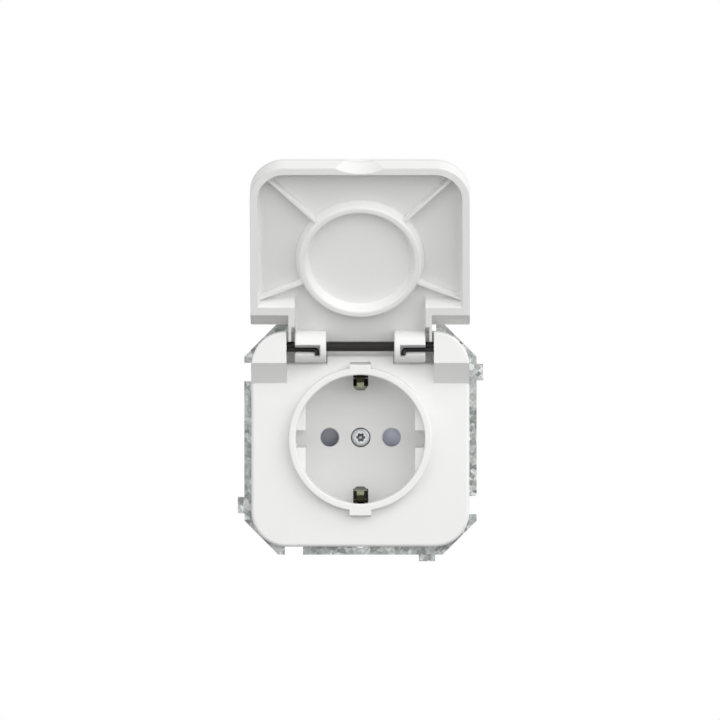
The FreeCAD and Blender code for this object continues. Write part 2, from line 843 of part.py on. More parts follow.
def cover_seal():
    inner = opening_radius + seal_gap
    front = cover_front + cover_skin
    outer = inner + seal_width
    points = [
        (inner, front),
        (outer, front),
        (outer, front + seal_groove),
        (outer - seal_groove, (front + plate_front) / 2),
        (outer, plate_front - seal_groove),
        (outer, plate_front),
        (inner, plate_front),
    ]
    corners = [FreeCAD.Vector(radius, y, 0) for radius, y in points]
    face = Part.Face(Part.makePolygon(corners + corners[:1]))
    ring = face.revolve(FreeCAD.Vector(0, 0, 0), INWARD, 360)
    return ring.cut(trough_backing())


def plate_rivets():
    rivets = []
    for x, z in ear_places():
        front = plate_front - rivet_head_length
        rear = ear_thickness + rivet_head_length
        head = drum_y(rivet_head_radius, front, plate_front, x, z)
        head = head.makeChamfer(rivet_head_chamfer, edges_at_depth(head, front))
        tail = drum_y(rivet_head_radius, ear_thickness, rear, x, z)
        tail = tail.makeChamfer(rivet_head_chamfer, edges_at_depth(tail, rear))
        rivets.append(joined([head, drum_y(rivet_radius, front, rear, x, z), tail]))
    return Part.makeCompound(rivets)


# Socket base, rear cover and screws

def terminal_turns():
    """The turn about the socket's axis that takes the right-hand terminal to each place."""
    return {"right": 0, "left": 180, "earth": 90}


def turned(shape, turn):
    return shape.rotate(FreeCAD.Vector(0, 0, 0), INWARD, turn)


def terminal_room(inner, shift):
    """One terminal's chamber, with the hole that its screw is reached through."""
    room_inner = inner - clamp_gap
    room_outer = clamp_outer + clamp_gap - shift
    half = clamp_half_width + clamp_gap
    room = block(room_inner, room_outer, partition_rear, base_depth + 1, -half, half)
    return room.fuse(drum_x(terminal_head_radius + clamp_gap, room_outer - 1, FAR, screw_axis_depth))


def socket_base():
    body = drum_y(base_radius, 0, base_depth)
    body = body.makeChamfer(base_chamfer, edges_at_depth(body, base_depth))
    ears = []
    for x, z in ear_places():
        turn = math.degrees(math.atan2(z, x))
        arm = block(well_radius + 1, ear_offset, 0, ear_thickness, -ear_radius, ear_radius)
        ears += [drum_y(ear_radius, 0, ear_thickness, x, z), turned(arm, -turn)]
    body = joined([body] + ears)
    half_pocket = shutter_half_width + shutter_gap
    pocket_top = shutter_top + shutter_travel + shutter_gap
    cuts = [
        drum_y(well_radius, -1, well_floor),
        block(-half_housing - well_gap, half_housing + well_gap, -1, well_floor,
              -housing_outer - well_gap, housing_outer + well_gap),
        block(-half_pocket, half_pocket, well_floor - 1, partition_front,
              shutter_bottom - shutter_gap, pocket_top).cut(
                  drum_y(post_radius, post_front, partition_front)),
        block(-spring_room_half_width, spring_room_half_width, well_floor - 1, partition_front,
              shutter_top, spring_room_top),
        drum_y(centre_screw_radius + hole_gap, post_front - 1, base_depth + 1),
        block(-half_slot, half_slot, partition_rear, base_depth + 1, -earth_slot_outer, earth_slot_outer),
    ]
    arm_room = block(-half_slot, half_slot, -1, partition_rear + 1,
                     earth_slot_outer - strap_room_depth, earth_slot_outer)
    cuts += [arm_room, mirrored_z(arm_room)]
    for x, z in ear_places():
        cuts.append(drum_y(rivet_radius + hole_gap, -1, ear_thickness + 1, x, z))
    for x, z in cover_screw_places():
        cuts.append(drum_y(cover_screw_radius, base_depth - cover_screw_length, base_depth + 1, x, z))
    sleeve_room = sleeve_radius + sleeve_wall + clamp_gap
    for x in (-pin_x, pin_x):
        cuts.append(drum_y(pin_hole_radius, partition_front - 1, partition_rear + 1, x))
        cuts.append(drum_y(sleeve_room, partition_rear, base_depth + 1, x))
    link = block(pin_x, clamp_inner, partition_rear, base_depth + 1, -tail_width / 2 - clamp_gap,
                 tail_width / 2 + clamp_gap)
    cuts += both_sides(link)
    for name, turn in terminal_turns().items():
        shift = clamp_inner - earth_clamp_inner if name == "earth" else 0
        inner = earth_clamp_inner if name == "earth" else clamp_inner
        cuts.append(turned(terminal_room(inner, shift), turn))
    return body.cut(cuts).removeSplitter()


def cover_screw_places():
    return [(-cover_screw_x, cover_screw_z), (cover_screw_x, -cover_screw_z)]


def base_cover():
    rear = base_depth + base_cover_thickness
    plate = drum_y(base_radius, base_depth, rear)
    plate = plate.makeChamfer(base_cover_chamfer, edges_at_depth(plate, rear))
    holes = [drum_y(cover_screw_radius + hole_gap, base_depth - 1, rear + 1, x, z)
             for x, z in cover_screw_places()]
    for name, turn in terminal_turns().items():
        inner = earth_clamp_inner if name == "earth" else clamp_inner
        wire_x = inner + clamp_wall + tail_thickness + wire_hole_radius + wire_hole_gap
        for z in (-wire_hole_offset, wire_hole_offset):
            mouth = Part.makeCone(wire_hole_radius, wire_hole_radius + wire_hole_flare, wire_hole_flare,
                                  FreeCAD.Vector(wire_x, rear - wire_hole_flare, z), INWARD)
            hole = drum_y(wire_hole_radius, base_depth - 1, rear + 1, wire_x, z).fuse(mouth)
            holes.append(turned(hole, turn))
    return plate.cut(holes)


def slotted_head(head, top):
    """Cut a driver slot across a terminal screw's head, which lies along X."""
    low = screw_axis_depth - screw_slot_width / 2
    slot = block(top - screw_slot_depth, top + 1, low, low + screw_slot_width, -FAR, FAR)
    return head.cut(slot)


def base_cover_screws():
    rear = base_depth + base_cover_thickness
    top = rear + cover_screw_head_length
    screws = []
    for x, z in cover_screw_places():
        head = drum_y(cover_screw_head, rear, top, x, z)
        head = head.makeChamfer(cover_screw_head_chamfer, edges_at_depth(head, top))
        shank = drum_y(cover_screw_radius - hole_gap / 2, rear - cover_screw_length, rear, x, z)
        arm = block(-cross_half_length, cross_half_length, top - cross_depth, top + 1,
                    -cross_half_width, cross_half_width)
        cross = arm.fuse(turned(arm.copy(), 90)).translate(FreeCAD.Vector(x, 0, z))
        screws.append(joined([head, shank]).cut(cross))
    return Part.makeCompound(screws)


def centre_screw():
    top = cup_rear - centre_head_length
    head = drum_y(centre_head_radius, top, cup_rear)
    head = head.makeFillet(centre_head_round, edges_at_depth(head, top))
    tip = cup_rear + centre_screw_length
    shank = drum_y(centre_screw_radius, cup_rear - head_sink, tip)
    shank = shank.makeChamfer(centre_tip_chamfer, edges_at_depth(shank, tip))
    lobes = [drum_y(lobe_offset, top - 1, top + lobe_depth)]
    for count in range(lobe_count):
        angle = 2 * math.pi * count / lobe_count
        x = lobe_offset * math.cos(angle)
        z = lobe_offset * math.sin(angle)
        lobes.append(drum_y(lobe_radius, top - 1, top + lobe_depth, x, z))
    return joined([head, shank]).cut(lobes)


# Earth strap, contacts, clamps and their screws

def earth_strap():
    """One bent strip: a bridge behind the partition, two arms, and a sprung nose and tongue on each."""
    bridge_front = partition_rear + strap_seat_gap
    bridge_rear = bridge_front + strap_thickness
    nose_y = collar_face + strap_nose_depth
    arm = [
        (bridge_front + strap_thickness / 2, strap_arm_radius),
        (recess_floor - strap_shoulder, strap_arm_radius),
        (nose_y + strap_nose_half, strap_nose_radius),
        (nose_y - strap_nose_half, strap_nose_radius),
        (collar_face + strap_tip_depth, strap_tip_radius),
    ]
    upper = [FreeCAD.Vector(0, y, z) for y, z in reversed(arm)]
    lower = [FreeCAD.Vector(0, y, -z) for y, z in arm]
    strip = bent_strip(upper + lower, ACROSS, 2 * strap_half_width, strap_thickness, strap_bend)
    inner_edge = strap_nose_radius - strap_thickness / 2
    band_edge = inner_edge + strap_nose_band
    ear_edge = strap_tip_radius - strap_ear_height
    waist_rear = recess_floor + strap_waist_end
    window = block(strap_tongue_width / 2, FAR, -FAR, nose_y, band_edge, ear_edge)
    ear_side = block(strap_ear_width / 2, FAR, -FAR, nose_y, ear_edge, FAR)
    waist = block(strap_tongue_width / 2, FAR, nose_y, waist_rear, band_edge, FAR)
    over = 0.01
    corner = profile_along_y(
        [
            (strap_half_width - strap_nose_chamfer, inner_edge - over),
            (strap_half_width + over, inner_edge - over),
            (strap_half_width + over, inner_edge + strap_nose_chamfer),
        ],
        nose_y - 2 * strap_nose_half,
        nose_y + 2 * strap_nose_half,
    )
    trims = [side for cut in (window, ear_side, waist, corner) for side in both_sides(cut)]
    trims += [mirrored_z(trim) for trim in trims]
    trims.append(drum_y(centre_screw_radius + hole_gap / 2, bridge_front - 1, bridge_rear + 1))
    tail_top = -(earth_clamp_inner + clamp_wall + tail_gap)
    tail = block(-earth_tail_width / 2, earth_tail_width / 2, bridge_front, clamp_back,
                 tail_top - tail_thickness, tail_top)
    return joined([strip, tail]).cut(trims)


def contact():
    """The right-hand contact: a slit sleeve round the pin and a tail into the clamp."""
    front = partition_rear + contact_front_gap
    outer = sleeve_radius + sleeve_wall
    tube = drum_y(outer, front, sleeve_end, pin_x)
    tail_x = clamp_inner + clamp_wall + tail_gap
    tail_half = tail_width / 2
    link = block(pin_x + sleeve_radius, tail_x, front, front + tail_thickness, -tail_half, tail_half)
    tail = block(tail_x, tail_x + tail_thickness, front, clamp_back, -tail_half, tail_half)
    bore = drum_y(sleeve_radius, front - 1, sleeve_end + 1, pin_x)
    slit = block(0, pin_x, front - 1, sleeve_end + 1, -sleeve_slit / 2, sleeve_slit / 2)
    return joined([tube, link, tail]).cut([bore, slit])


def clamp(inner):
    """A cage open along Y that the wire and the tail go into, on the right-hand side."""
    outer = inner + clamp_outer - clamp_inner
    cage = block(inner, outer, clamp_front, clamp_back, -clamp_half_width, clamp_half_width)
    cage = cage.makeFillet(clamp_corner_round, edges_along(cage, INWARD))
    inside = clamp_half_width - clamp_wall
    window = block(inner + clamp_wall, outer - clamp_wall, clamp_front - 1, clamp_back + 1, -inside, inside)
    thread_radius = terminal_thread_radius + hole_gap / 2
    thread = drum_x(thread_radius, outer - clamp_wall - 1, outer + 1, screw_axis_depth)
    return cage.cut([window, thread])


def terminal_screw(inner):
    """A clamp's screw, along X on the right-hand side."""
    outer = inner + clamp_outer - clamp_inner
    shank_end = inner + clamp_wall + tail_thickness + screw_end_gap
    head_start = outer + clamp_gap
    head_end = head_start + terminal_head_length
    head = drum_x(terminal_head_radius, head_start, head_end, screw_axis_depth)
    head = slotted_head(head, head_end)
    shank = drum_x(terminal_thread_radius, shank_end, head_start + head_sink, screw_axis_depth)
    return joined([head, shank])


# Shutter and its spring

def shutter():
    """An arch-shaped slide that covers both pin holes and has a window below each."""
    front = well_floor
    rear = partition_front - shutter_gap
    plate = block(-shutter_half_width, shutter_half_width, front, rear, shutter_bottom, shutter_top)
    post_room = post_radius + shutter_gap
    arch = block(-post_room, post_room, front - 1, rear + 1, -FAR, post_room)
    half_ramp = pin_hole_radius + shutter_ramp_margin
    ramp_start = front + shutter_ramp_edge
    ramp = profile_along_x(
        [
            (front - 1, half_ramp),
            (ramp_start, half_ramp),
            (ramp_start + shutter_ramp_rise, -half_ramp),
            (front - 1, -half_ramp),
        ],
        pin_x - window_half_width,
        pin_x + window_half_width,
    )
    window = block(pin_x - window_half_width, pin_x + window_half_width, front - 1, rear + 1,
                   -shutter_travel - window_half_width, -half_ramp)
    lighten = block(pin_x + window_half_width + shutter_window_wall, FAR, front + shutter_plate, rear + 1,
                    -FAR, shutter_top - shutter_top_wall)
    return plate.cut([arch] + both_sides(ramp) + both_sides(window) + both_sides(lighten)).removeSplitter()


def shutter_spring():
    """A folded leaf between the shutter's top and the end of its room in the base."""
    half = leaf_thickness / 2
    low = shutter_top + leaf_gap + half
    high = spring_room_top - leaf_gap - half
    middle = (well_floor + partition_front) / 2
    rise = (high - low) / leaf_folds
    points = [FreeCAD.Vector(-leaf_half_width, middle, low)]
    for fold in range(leaf_folds):
        side = leaf_half_width * (-1) ** fold
        points.append(FreeCAD.Vector(side, middle, low + rise * fold))
        points.append(FreeCAD.Vector(side, middle, low + rise * (fold + 1)))
    points.append(FreeCAD.Vector(-points[-1].x, middle, high))
    return bent_strip(points, INWARD, leaf_height, leaf_thickness, leaf_bend)


def all_pieces():
    right_contact = contact()
    right_spring = lid_spring()
    right_clamp = clamp(clamp_inner)
    right_screw = terminal_screw(clamp_inner)
    turns = terminal_turns()
    return {
        "cover_plate": cover_plate(),
        "lid": lid(),
        "hinge_rod": hinge_rod(),
        "lid_spring_left": mirrored_x(right_spring),
        "lid_spring_right": right_spring,
        "centre_screw": centre_screw(),
        "support_plate": support_plate(),
        "cover_seal": cover_seal(),
        "plate_rivets": plate_rivets(),
        "socket_base": socket_base(),
        "base_cover": base_cover(),
        "base_cover_screws": base_cover_screws(),
        "shutter": shutter(),
        "shutter_spring": shutter_spring(),
        "contact_left": mirrored_x(right_contact),
        "contact_right": right_contact,
        "earth_strap": earth_strap(),
        "terminal_clamp_left": mirrored_x(right_clamp),
        "terminal_clamp_right": right_clamp,
        "terminal_clamp_earth": turned(clamp(earth_clamp_inner), turns["earth"]),
        "terminal_screw_left": mirrored_x(right_screw),
        "terminal_screw_right": right_screw,
        "terminal_screw_earth": turned(terminal_screw(earth_clamp_inner), turns["earth"]),
    }


def main():
    os.makedirs("parts", exist_ok=True)
    for name, shape in all_pieces().items():
        shape.exportStep(f"parts/{name}.step")
        print(name, len(shape.Solids), "solid", round(shape.Volume, 2), "mm3, valid", shape.isValid())


main()
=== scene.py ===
import json
import math

import bmesh
import bpy
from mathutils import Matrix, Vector


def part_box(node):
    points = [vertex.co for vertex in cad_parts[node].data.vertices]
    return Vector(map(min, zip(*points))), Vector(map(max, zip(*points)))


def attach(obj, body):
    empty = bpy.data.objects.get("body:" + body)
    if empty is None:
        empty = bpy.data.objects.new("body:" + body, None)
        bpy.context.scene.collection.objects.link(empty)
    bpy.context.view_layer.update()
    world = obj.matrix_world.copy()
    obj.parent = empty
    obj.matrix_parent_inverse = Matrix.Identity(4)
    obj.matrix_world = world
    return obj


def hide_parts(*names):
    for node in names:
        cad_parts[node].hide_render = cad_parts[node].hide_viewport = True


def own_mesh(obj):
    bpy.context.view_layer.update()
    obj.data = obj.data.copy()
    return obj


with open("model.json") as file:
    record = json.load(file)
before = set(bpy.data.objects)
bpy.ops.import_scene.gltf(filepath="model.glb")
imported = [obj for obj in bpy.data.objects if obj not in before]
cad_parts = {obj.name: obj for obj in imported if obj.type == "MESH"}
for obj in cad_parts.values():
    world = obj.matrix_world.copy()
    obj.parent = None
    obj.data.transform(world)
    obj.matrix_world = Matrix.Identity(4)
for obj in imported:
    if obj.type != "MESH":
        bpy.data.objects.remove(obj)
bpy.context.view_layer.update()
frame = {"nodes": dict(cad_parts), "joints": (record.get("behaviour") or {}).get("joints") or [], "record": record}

bl_info = {
    "name": "Outdoor Socket Finish",
    "version": (1, 0, 0),
    "blender": (4, 5, 0),
    "location": "View3D > Sidebar > Socket",
    "description": "Finishes a hinged-lid socket: plastics, zinc, springs, screws and a white stage",
    "category": "Object",
}

MM = 0.001
QUARTER = math.radians(90)
JOINTS = {joint["name"]: joint for joint in frame["joints"]}
RECESS = next(mount for mount in frame["record"]["mounts"] if mount["name"] == "plug_recess")

# Places in the part, in millimetres and degrees
AXIS_Y, AXIS_Z = (value / MM for value in JOINTS["lid_hinge"]["pos_m"][1:])
RECESS_RADIUS = RECESS["dims"]["r_mm"]
RECESS_FLOOR = 8.5
BLOCK_INNER = 22.5
PLATE_FRONT = -1.0
HEAD_REAR = 10.5

# How the lid springs lie: the hook in its slot, the leg that runs just outside the coil, the coil
# in its block, and the fixed leg's end just off the support plate
HOOK_X = 13.2
HOOK_ROUNDING = 0.22
SLOT_TILT = 20.7
LEG_ANGLE = 200.0
LEG_LIFT = 0.15
COIL_INSET = 1.1
SEAT_GAP = 0.3
WIRE_SIDES = 16
STEPS_A_TURN = 24

# The rings of the screw head's dome, each this far in from the last and this much higher
DOME = ((0.08, 0.06), (0.2, 0.07), (0.4, 0.07), (0.5, 0.05), (0.55, 0.02))
TIP_LENGTH = 0.5
EDGE_ROUNDING = 0.05

# The camera looks at AIM, in metres; each lamp stands so many degrees to the right and up
AIM = Vector((-0.0001, -0.006, 0.0242))
LAMPS = {"key": (40.0, 25.0), "side": (75.0, 30.0), "fill": (-50.0, 30.0)}


# Shader expressions

class Field:
    """A shader socket that Python arithmetic turns into Math nodes."""

    def __init__(self, graph, socket):
        self.graph = graph
        self.socket = socket

    def math(self, operation, *values):
        return self.graph.add("ShaderNodeMath", {"operation": operation}, [self, *values])

    def __add__(self, other):
        return self.math("ADD", other)

    def __radd__(self, other):
        return self.math("ADD", other)

    def __sub__(self, other):
        return self.math("SUBTRACT", other)

    def __rsub__(self, other):
        return self.graph.add("ShaderNodeMath", {"operation": "SUBTRACT"}, [other, self])

    def __mul__(self, other):
        return self.math("MULTIPLY", other)

    def __rmul__(self, other):
        return self.math("MULTIPLY", other)

    def __truediv__(self, other):
        return self.math("DIVIDE", other)

    def __pow__(self, other):
        return self.math("POWER", other)

    def over(self, level):
        """One where this value is above a level, and nought elsewhere."""
        return self.math("GREATER_THAN", level)

    def between(self, low, high, to_low=0.0, to_high=1.0):
        """Map this value from low..high to to_low..to_high, clamped at both ends."""
        values = {"Value": self, "From Min": low, "From Max": high, "To Min": to_low, "To Max": to_high}
        return self.graph.add("ShaderNodeMapRange", {}, values)


class Graph:
    """A node tree and the ways to add to it."""

    def __init__(self, tree):
        self.nodes = tree.nodes
        self.links = tree.links

    def add(self, kind, settings, values, output=0):
        """Add a node, apply its settings, feed its sockets and return the chosen output."""
        node = self.nodes.new(kind)
        for key, value in settings.items():
            if key == "stops":
                self.set_stops(node.color_ramp, value)
            else:
                setattr(node, key, value)
        pairs = values.items() if isinstance(values, dict) else enumerate(values)
        for key, value in pairs:
            self.feed(node.inputs[key], value)
        return Field(self, node.outputs[output])

    def set_stops(self, ramp, stops):
        while len(ramp.elements) < len(stops):
            ramp.elements.new(0.5)
        for element, (place, colour) in zip(ramp.elements, stops):
            element.position = place
            element.color = colour

    def feed(self, socket, value):
        """Link a field to a socket, or set the socket to a plain value."""
        if isinstance(value, Field):
            self.links.new(value.socket, socket)
        else:
            socket.default_value = value

    def part(self, vector, axis):
        return self.add("ShaderNodeSeparateXYZ", {}, [vector], axis)

    def seen_ray(self):
        """One for what the camera sees, also in a reflection or through glass, and nought for light."""
        path = self.add("ShaderNodeLightPath", {}, {}, "Is Camera Ray").socket.node
        camera, glossy, through = (
            Field(self, path.outputs[f"Is {kind} Ray"]) for kind in ("Camera", "Glossy", "Transmission"))
        return (camera + glossy + through).math("MINIMUM", 1.0)


class SurfaceGraph(Graph):
    """One material's node tree, with its Principled shader and Object coordinates."""

    def __init__(self, name):
        self.material = bpy.data.materials.new(name)
        self.material.use_nodes = True
        super().__init__(self.material.node_tree)
        self.shader = next(node for node in self.nodes if node.type == "BSDF_PRINCIPLED")
        self.output = next(node for node in self.nodes if node.type == "OUTPUT_MATERIAL")
        self.place = self.add("ShaderNodeTexCoord", {}, {}, "Object")

    def set(self, **values):
        """Set or link the Principled shader's sockets, named with underscores for spaces."""
        for key, value in values.items():
            self.feed(self.shader.inputs[key.replace("_", " ")], value)

    def shader_output(self):
        return Field(self, self.shader.outputs["BSDF"])

    def along(self, axis):
        """Distance from the origin along an axis."""
        return self.part(self.place, axis)

    def away(self, axis):
        """The same distance on either side of the origin."""
        return self.along(axis).math("ABSOLUTE")

    def noise(self, scale, detail=2.0, roughness=0.5, place=None):
        """Noise with a scale in features per metre."""
        values = {"Vector": place or self.place, "Scale": scale, "Detail": detail, "Roughness": roughness}
        return self.add("ShaderNodeTexNoise", {}, values, "Fac")

    def noise_colour(self, scale, detail):
        """Three noises in one, each around a half."""
        values = {"Vector": self.place, "Scale": scale, "Detail": detail}
        return self.add("ShaderNodeTexNoise", {}, values, "Color")

    def cells(self, scale, output, place=None):
        values = {"Vector": place or self.place, "Scale": scale}
        return self.add("ShaderNodeTexVoronoi", {}, values, output)

    def axis_distance(self):
        """Distance from the recess axis."""
        flat = self.add("ShaderNodeVectorMath", {"operation": "MULTIPLY"}, [self.place, (1, 0, 1)])
        return self.add("ShaderNodeVectorMath", {"operation": "LENGTH"}, [flat], "Value")

    def earth_slots(self, half_width, inner, outer):
        """One within two slots above and below the recess, given in millimetres, and nought elsewhere."""
        height = self.away("Z")
        narrow = 1.0 - self.away("X").over(half_width * MM)
        return narrow * height.over(inner * MM) * (1.0 - height.over(outer * MM))

    def stretched(self, x, y, z):
        """Object coordinates scaled along each axis."""
        return self.add("ShaderNodeMapping", {}, {"Vector": self.place, "Scale": (x, y, z)})

    def ramp(self, value, stops):
        return self.add("ShaderNodeValToRGB", {"stops": stops}, [value])

    def mix(self, factor, first, second):
        return self.add("ShaderNodeMix", {"data_type": "RGBA"}, {0: factor, 6: first, 7: second}, 2)

    def bump(self, height, distance, strength=1.0, normal=None):
        """A bump of a height in millimetres."""
        values = {"Height": height, "Distance": distance * MM, "Strength": strength}
        if normal is not None:
            values["Normal"] = normal
        return self.add("ShaderNodeBump", {}, values)

    def rounded(self, radius):
        """Normals that soften the edges at a small radius in millimetres."""
        return self.add("ShaderNodeBevel", {"samples": 6}, {"Radius": radius * MM})


def shade(level):
    return (level, level, level, 1.0)


def tinted(colour, factor):
    return tuple(channel * factor for channel in colour[:3]) + (1.0,)


# Finishes

def moulded_plastic(name, colour, roughness, grain=0.004, edge=0.35, recoloured=None):
    """Injection-moulded plastic: faint flow marks, fine spark texture and soft edges.

    recoloured, if given, paints light and shade into the colour in some places.
    """
    g = SurfaceGraph(name)
    flow = g.noise(45.0, 3.0)
    fine = g.noise(2600.0, 2.0)
    tone = g.mix(flow.between(0.35, 0.65), tinted(colour, 0.985), tinted(colour, 1.0))
    if recoloured:
        tone = recoloured(g, tone, colour)
    g.set(
        Base_Color=tone,
        Roughness=flow * 0.06 + fine * 0.05 + (roughness - 0.055),
        Normal=g.bump(fine, grain, 0.35, g.rounded(edge)),
    )
    g.shader.inputs["IOR"].default_value = 1.5
    return g.material


def painted_recess_shade(share):
    """Painted light and shade: the recess floor keeps a share of its white, less low down and a little more high
    up, and the earth slots are painted nearly black for the shade they lead into.
    """
    def recoloured(g, tone, colour):
        deep = g.along("Y")
        floor = deep.over((RECESS_FLOOR - 0.4) * MM) * (1.0 - g.axis_distance().over(RECESS_RADIUS * MM))
        # Painted light and shade: lighter towards the top of the recess floor, darker towards its bottom
        painted_height_shading = g.along("Z").between(-2.0 * MM, 14.0 * MM, share - 0.08, share + 0.11)
        # Near the top it keeps more than one, where a mix's factor would stop
        most = 1.05
        tone = g.mix(floor, tone, g.mix(painted_height_shading / most, shade(0.0), tinted(colour, most)))
        # Painted shade: the earth slots in the cover are painted nearly black
        slots = g.earth_slots(2.3, 15.7, 21.0) * deep.over(0.5 * MM)
        return g.mix(slots, tone, tinted(colour, 0.06))
    return recoloured


def painted_tray_shade(share):
    """Painted shade: the open lid's tray keeps a share of its white outside the sealing ridge."""
    tilt = math.radians(JOINTS["lid_hinge"]["range_deg"][1])
    rise = -math.cos(tilt)
    lean = math.sin(tilt)

    def recoloured(g, tone, colour):
        deep = g.along("Y") - AXIS_Y * MM
        height = g.along("Z") - AXIS_Z * MM
        up_lid = height * rise - deep * lean
        into_lid = deep * rise + height * lean
        from_ridge = g.along("X") ** 2.0 + (up_lid - AXIS_Z * MM) ** 2.0
        floor = into_lid.between(2.6 * MM, 3.2 * MM) * (1.0 - into_lid.over(3.9 * MM))
        # Painted shade on the tray's floor outside the ridge
        return g.mix(from_ridge.over((18.3 * MM) ** 2) * floor, tone, tinted(colour, share))
    return recoloured


def painted_pad_shading(g, tone, colour):
    """Painted light and shade: the shutter's left pad is painted darker and its right one lighter."""
    side = g.along("X").between(-6.0 * MM, 6.0 * MM)
    # Painted shade on the left pad, painted light on the right one
    return g.mix(side, tinted(colour, 0.72), tinted(colour, 1.2))


def galvanised_sheet(name, colour):
    """Zinc-dipped sheet steel: crystals of about 1.5 mm that catch the light differently."""
    g = SurfaceGraph(name)
    jagged = g.noise(1100.0, 3.0, 0.6)
    fray = (0.9 * MM, 0.9 * MM, 0.9 * MM)
    frayed = g.add("ShaderNodeVectorMath", {"operation": "MULTIPLY_ADD"},
                   [g.noise_colour(900.0, 3.0), fray, g.place])
    crystal = g.part(g.cells(560.0, "Color", frayed), "X")
    small = g.part(g.cells(1500.0, "Color", frayed), "Y")
    cloud = g.noise(160.0, 2.0)
    tone = crystal * 0.5 + small * 0.22 + jagged * 0.28 + (cloud - 0.5) * 0.3
    stops = [(place, tinted(colour, factor))
             for place, factor in ((0.0, 0.46), (0.35, 0.78), (0.7, 1.12), (1.0, 1.65))]
    g.set(
        Base_Color=g.ramp(tone.between(0.18, 0.82), stops),
        Metallic=0.85,
        Roughness=tone.between(0.1, 1.0, 0.3, 0.5) + jagged * 0.08,
        Normal=g.bump(tone, 0.02, 0.6, g.rounded(0.15)),
    )
    return g.material


def bright_metal(name, colour, roughness):
    """Zinc-plated or rolled metal with fine drawn scratches."""
    g = SurfaceGraph(name)
    lines = g.noise(3500.0, 3.0, 0.6)
    patch = g.noise(350.0, 2.0)
    g.set(
        Base_Color=g.mix(patch.between(0.3, 0.7), tinted(colour, 0.88), tinted(colour, 1.0)),
        Metallic=1.0,
        Roughness=lines * 0.16 + (roughness - 0.05) + patch * 0.06,
        Normal=g.bump(lines, 0.003, 0.5, g.rounded(0.12)),
    )
    return g.material


def black_steel(name, colour, roughness, specular):
    """Blackened steel: rubbed a little brighter where it has turned in its bearings."""
    g = SurfaceGraph(name)
    rub = g.noise(1200.0, 3.0, 0.6, g.stretched(0.15, 1.0, 1.0))
    g.set(
        Base_Color=g.mix(rub.between(0.5, 0.85), tinted(colour, 1.0), tinted(colour, 2.2)),
        Roughness=rub.between(0.3, 0.8, roughness + 0.1, roughness - 0.06),
        Normal=g.bump(rub, 0.004, 0.5),
    )
    g.shader.inputs["Specular IOR Level"].default_value = specular
    return g.material


def thermoset(name, colour, roughness, painted_shaft_shade=False):
    """Grey filled moulding compound with a speckle of filler, with painted shade, nearly black, down where the
    earth clips pass through.
    """
    g = SurfaceGraph(name)
    speck = g.cells(2400.0, "Distance")
    cloud = g.noise(160.0, 4.0)
    tone = speck.between(0.0, 0.5) * 0.35 + cloud * 0.65
    grey = g.mix(tone.between(0.25, 0.8), tinted(colour, 0.9), tinted(colour, 1.06))
    if painted_shaft_shade:
        # Painted shade: nearly black inside the openings for the earth clips
        inside = g.earth_slots(2.6, 14.0, 22.0) * (1.0 - g.along("Y").over(20.0 * MM))
        grey = g.mix(inside, grey, tinted(colour, 0.05))
    g.set(
        Base_Color=grey,
        Roughness=cloud * 0.12 + (roughness - 0.06),
        Normal=g.bump(cloud * 0.6 + speck * 0.4, 0.012, 0.4, g.rounded(0.25)),
    )
    return g.material


def tinned_strap(name, colour):
    """Tinned brass strip: bright where hidden, with a grey nose, an olive tongue and painted shade, nearly black,
    at its outer ends.

    The clips are told from the rest of the strip by their depth, and their zones by height.
    """
    g = SurfaceGraph(name)
    lines = g.noise(3500.0, 3.0, 0.6, g.stretched(0.3, 1.0, 1.0))
    stain = g.noise(900.0, 3.0)
    height = g.away("Z") + (stain - 0.5) * (0.5 * MM)
    olive = g.mix(stain.between(0.35, 0.7), (0.34, 0.36, 0.22, 1.0), (0.5, 0.52, 0.36, 1.0))
    tongue = g.away("X").between(1.45 * MM, 1.25 * MM) * height.between(15.6 * MM, 15.85 * MM)
    clip = g.mix(tongue, (0.24, 0.25, 0.23, 1.0), olive)
    # Painted shade: nearly black beyond the tongue, towards the recess wall
    clip = g.mix(height.between(17.0 * MM, 17.4 * MM), clip, (0.05, 0.05, 0.03, 1.0))
    shown = g.along("Y").between((RECESS_FLOOR + 1.5) * MM, (RECESS_FLOOR + 0.5) * MM)
    g.set(
        Base_Color=g.mix(shown, tinted(colour, 1.0), clip),
        Metallic=1.0,
        Roughness=lines * 0.16 + stain * 0.12 + 0.24,
        Normal=g.bump(lines, 0.003, 0.5, g.rounded(0.12)),
    )
    return g.material


def recessed_screw(name, colour):
    """A bright screw head with painted shade grey at its rim, and painted shade dark down in its recess with a
    painted highlight at its centre.
    """
    g = SurfaceGraph(name)
    out = g.axis_distance()
    lines = g.noise(4200.0, 3.0, 0.6, g.stretched(1.0, 0.3, 1.0))
    smear = g.noise(1300.0, 3.0)
    face = g.mix(smear.between(0.3, 0.7), tinted(colour, 0.72), tinted(colour, 1.15))
    # Painted shade: the rim of the dome is painted grey
    face = g.mix(out.between(1.6 * MM, 2.8 * MM), face, tinted(colour, 0.36))
    # Painted shade in the recess, with a painted highlight at its centre
    recess = g.mix(out.between(0.55 * MM, 0.3 * MM), tinted(colour, 0.12), tinted(colour, 0.5))
    deep = g.along("Y").between((RECESS_FLOOR + 0.5) * MM, (RECESS_FLOOR + 1.2) * MM)
    g.set(
        Base_Color=g.mix((1.0 - out.between(1.2 * MM, 1.6 * MM)) * deep, face, recess),
        Metallic=1.0,
        Roughness=lines * 0.14 + smear * 0.1 + 0.1,
        Normal=g.bump(lines + smear, 0.006, 0.6, g.rounded(0.12)),
    )
    return g.material


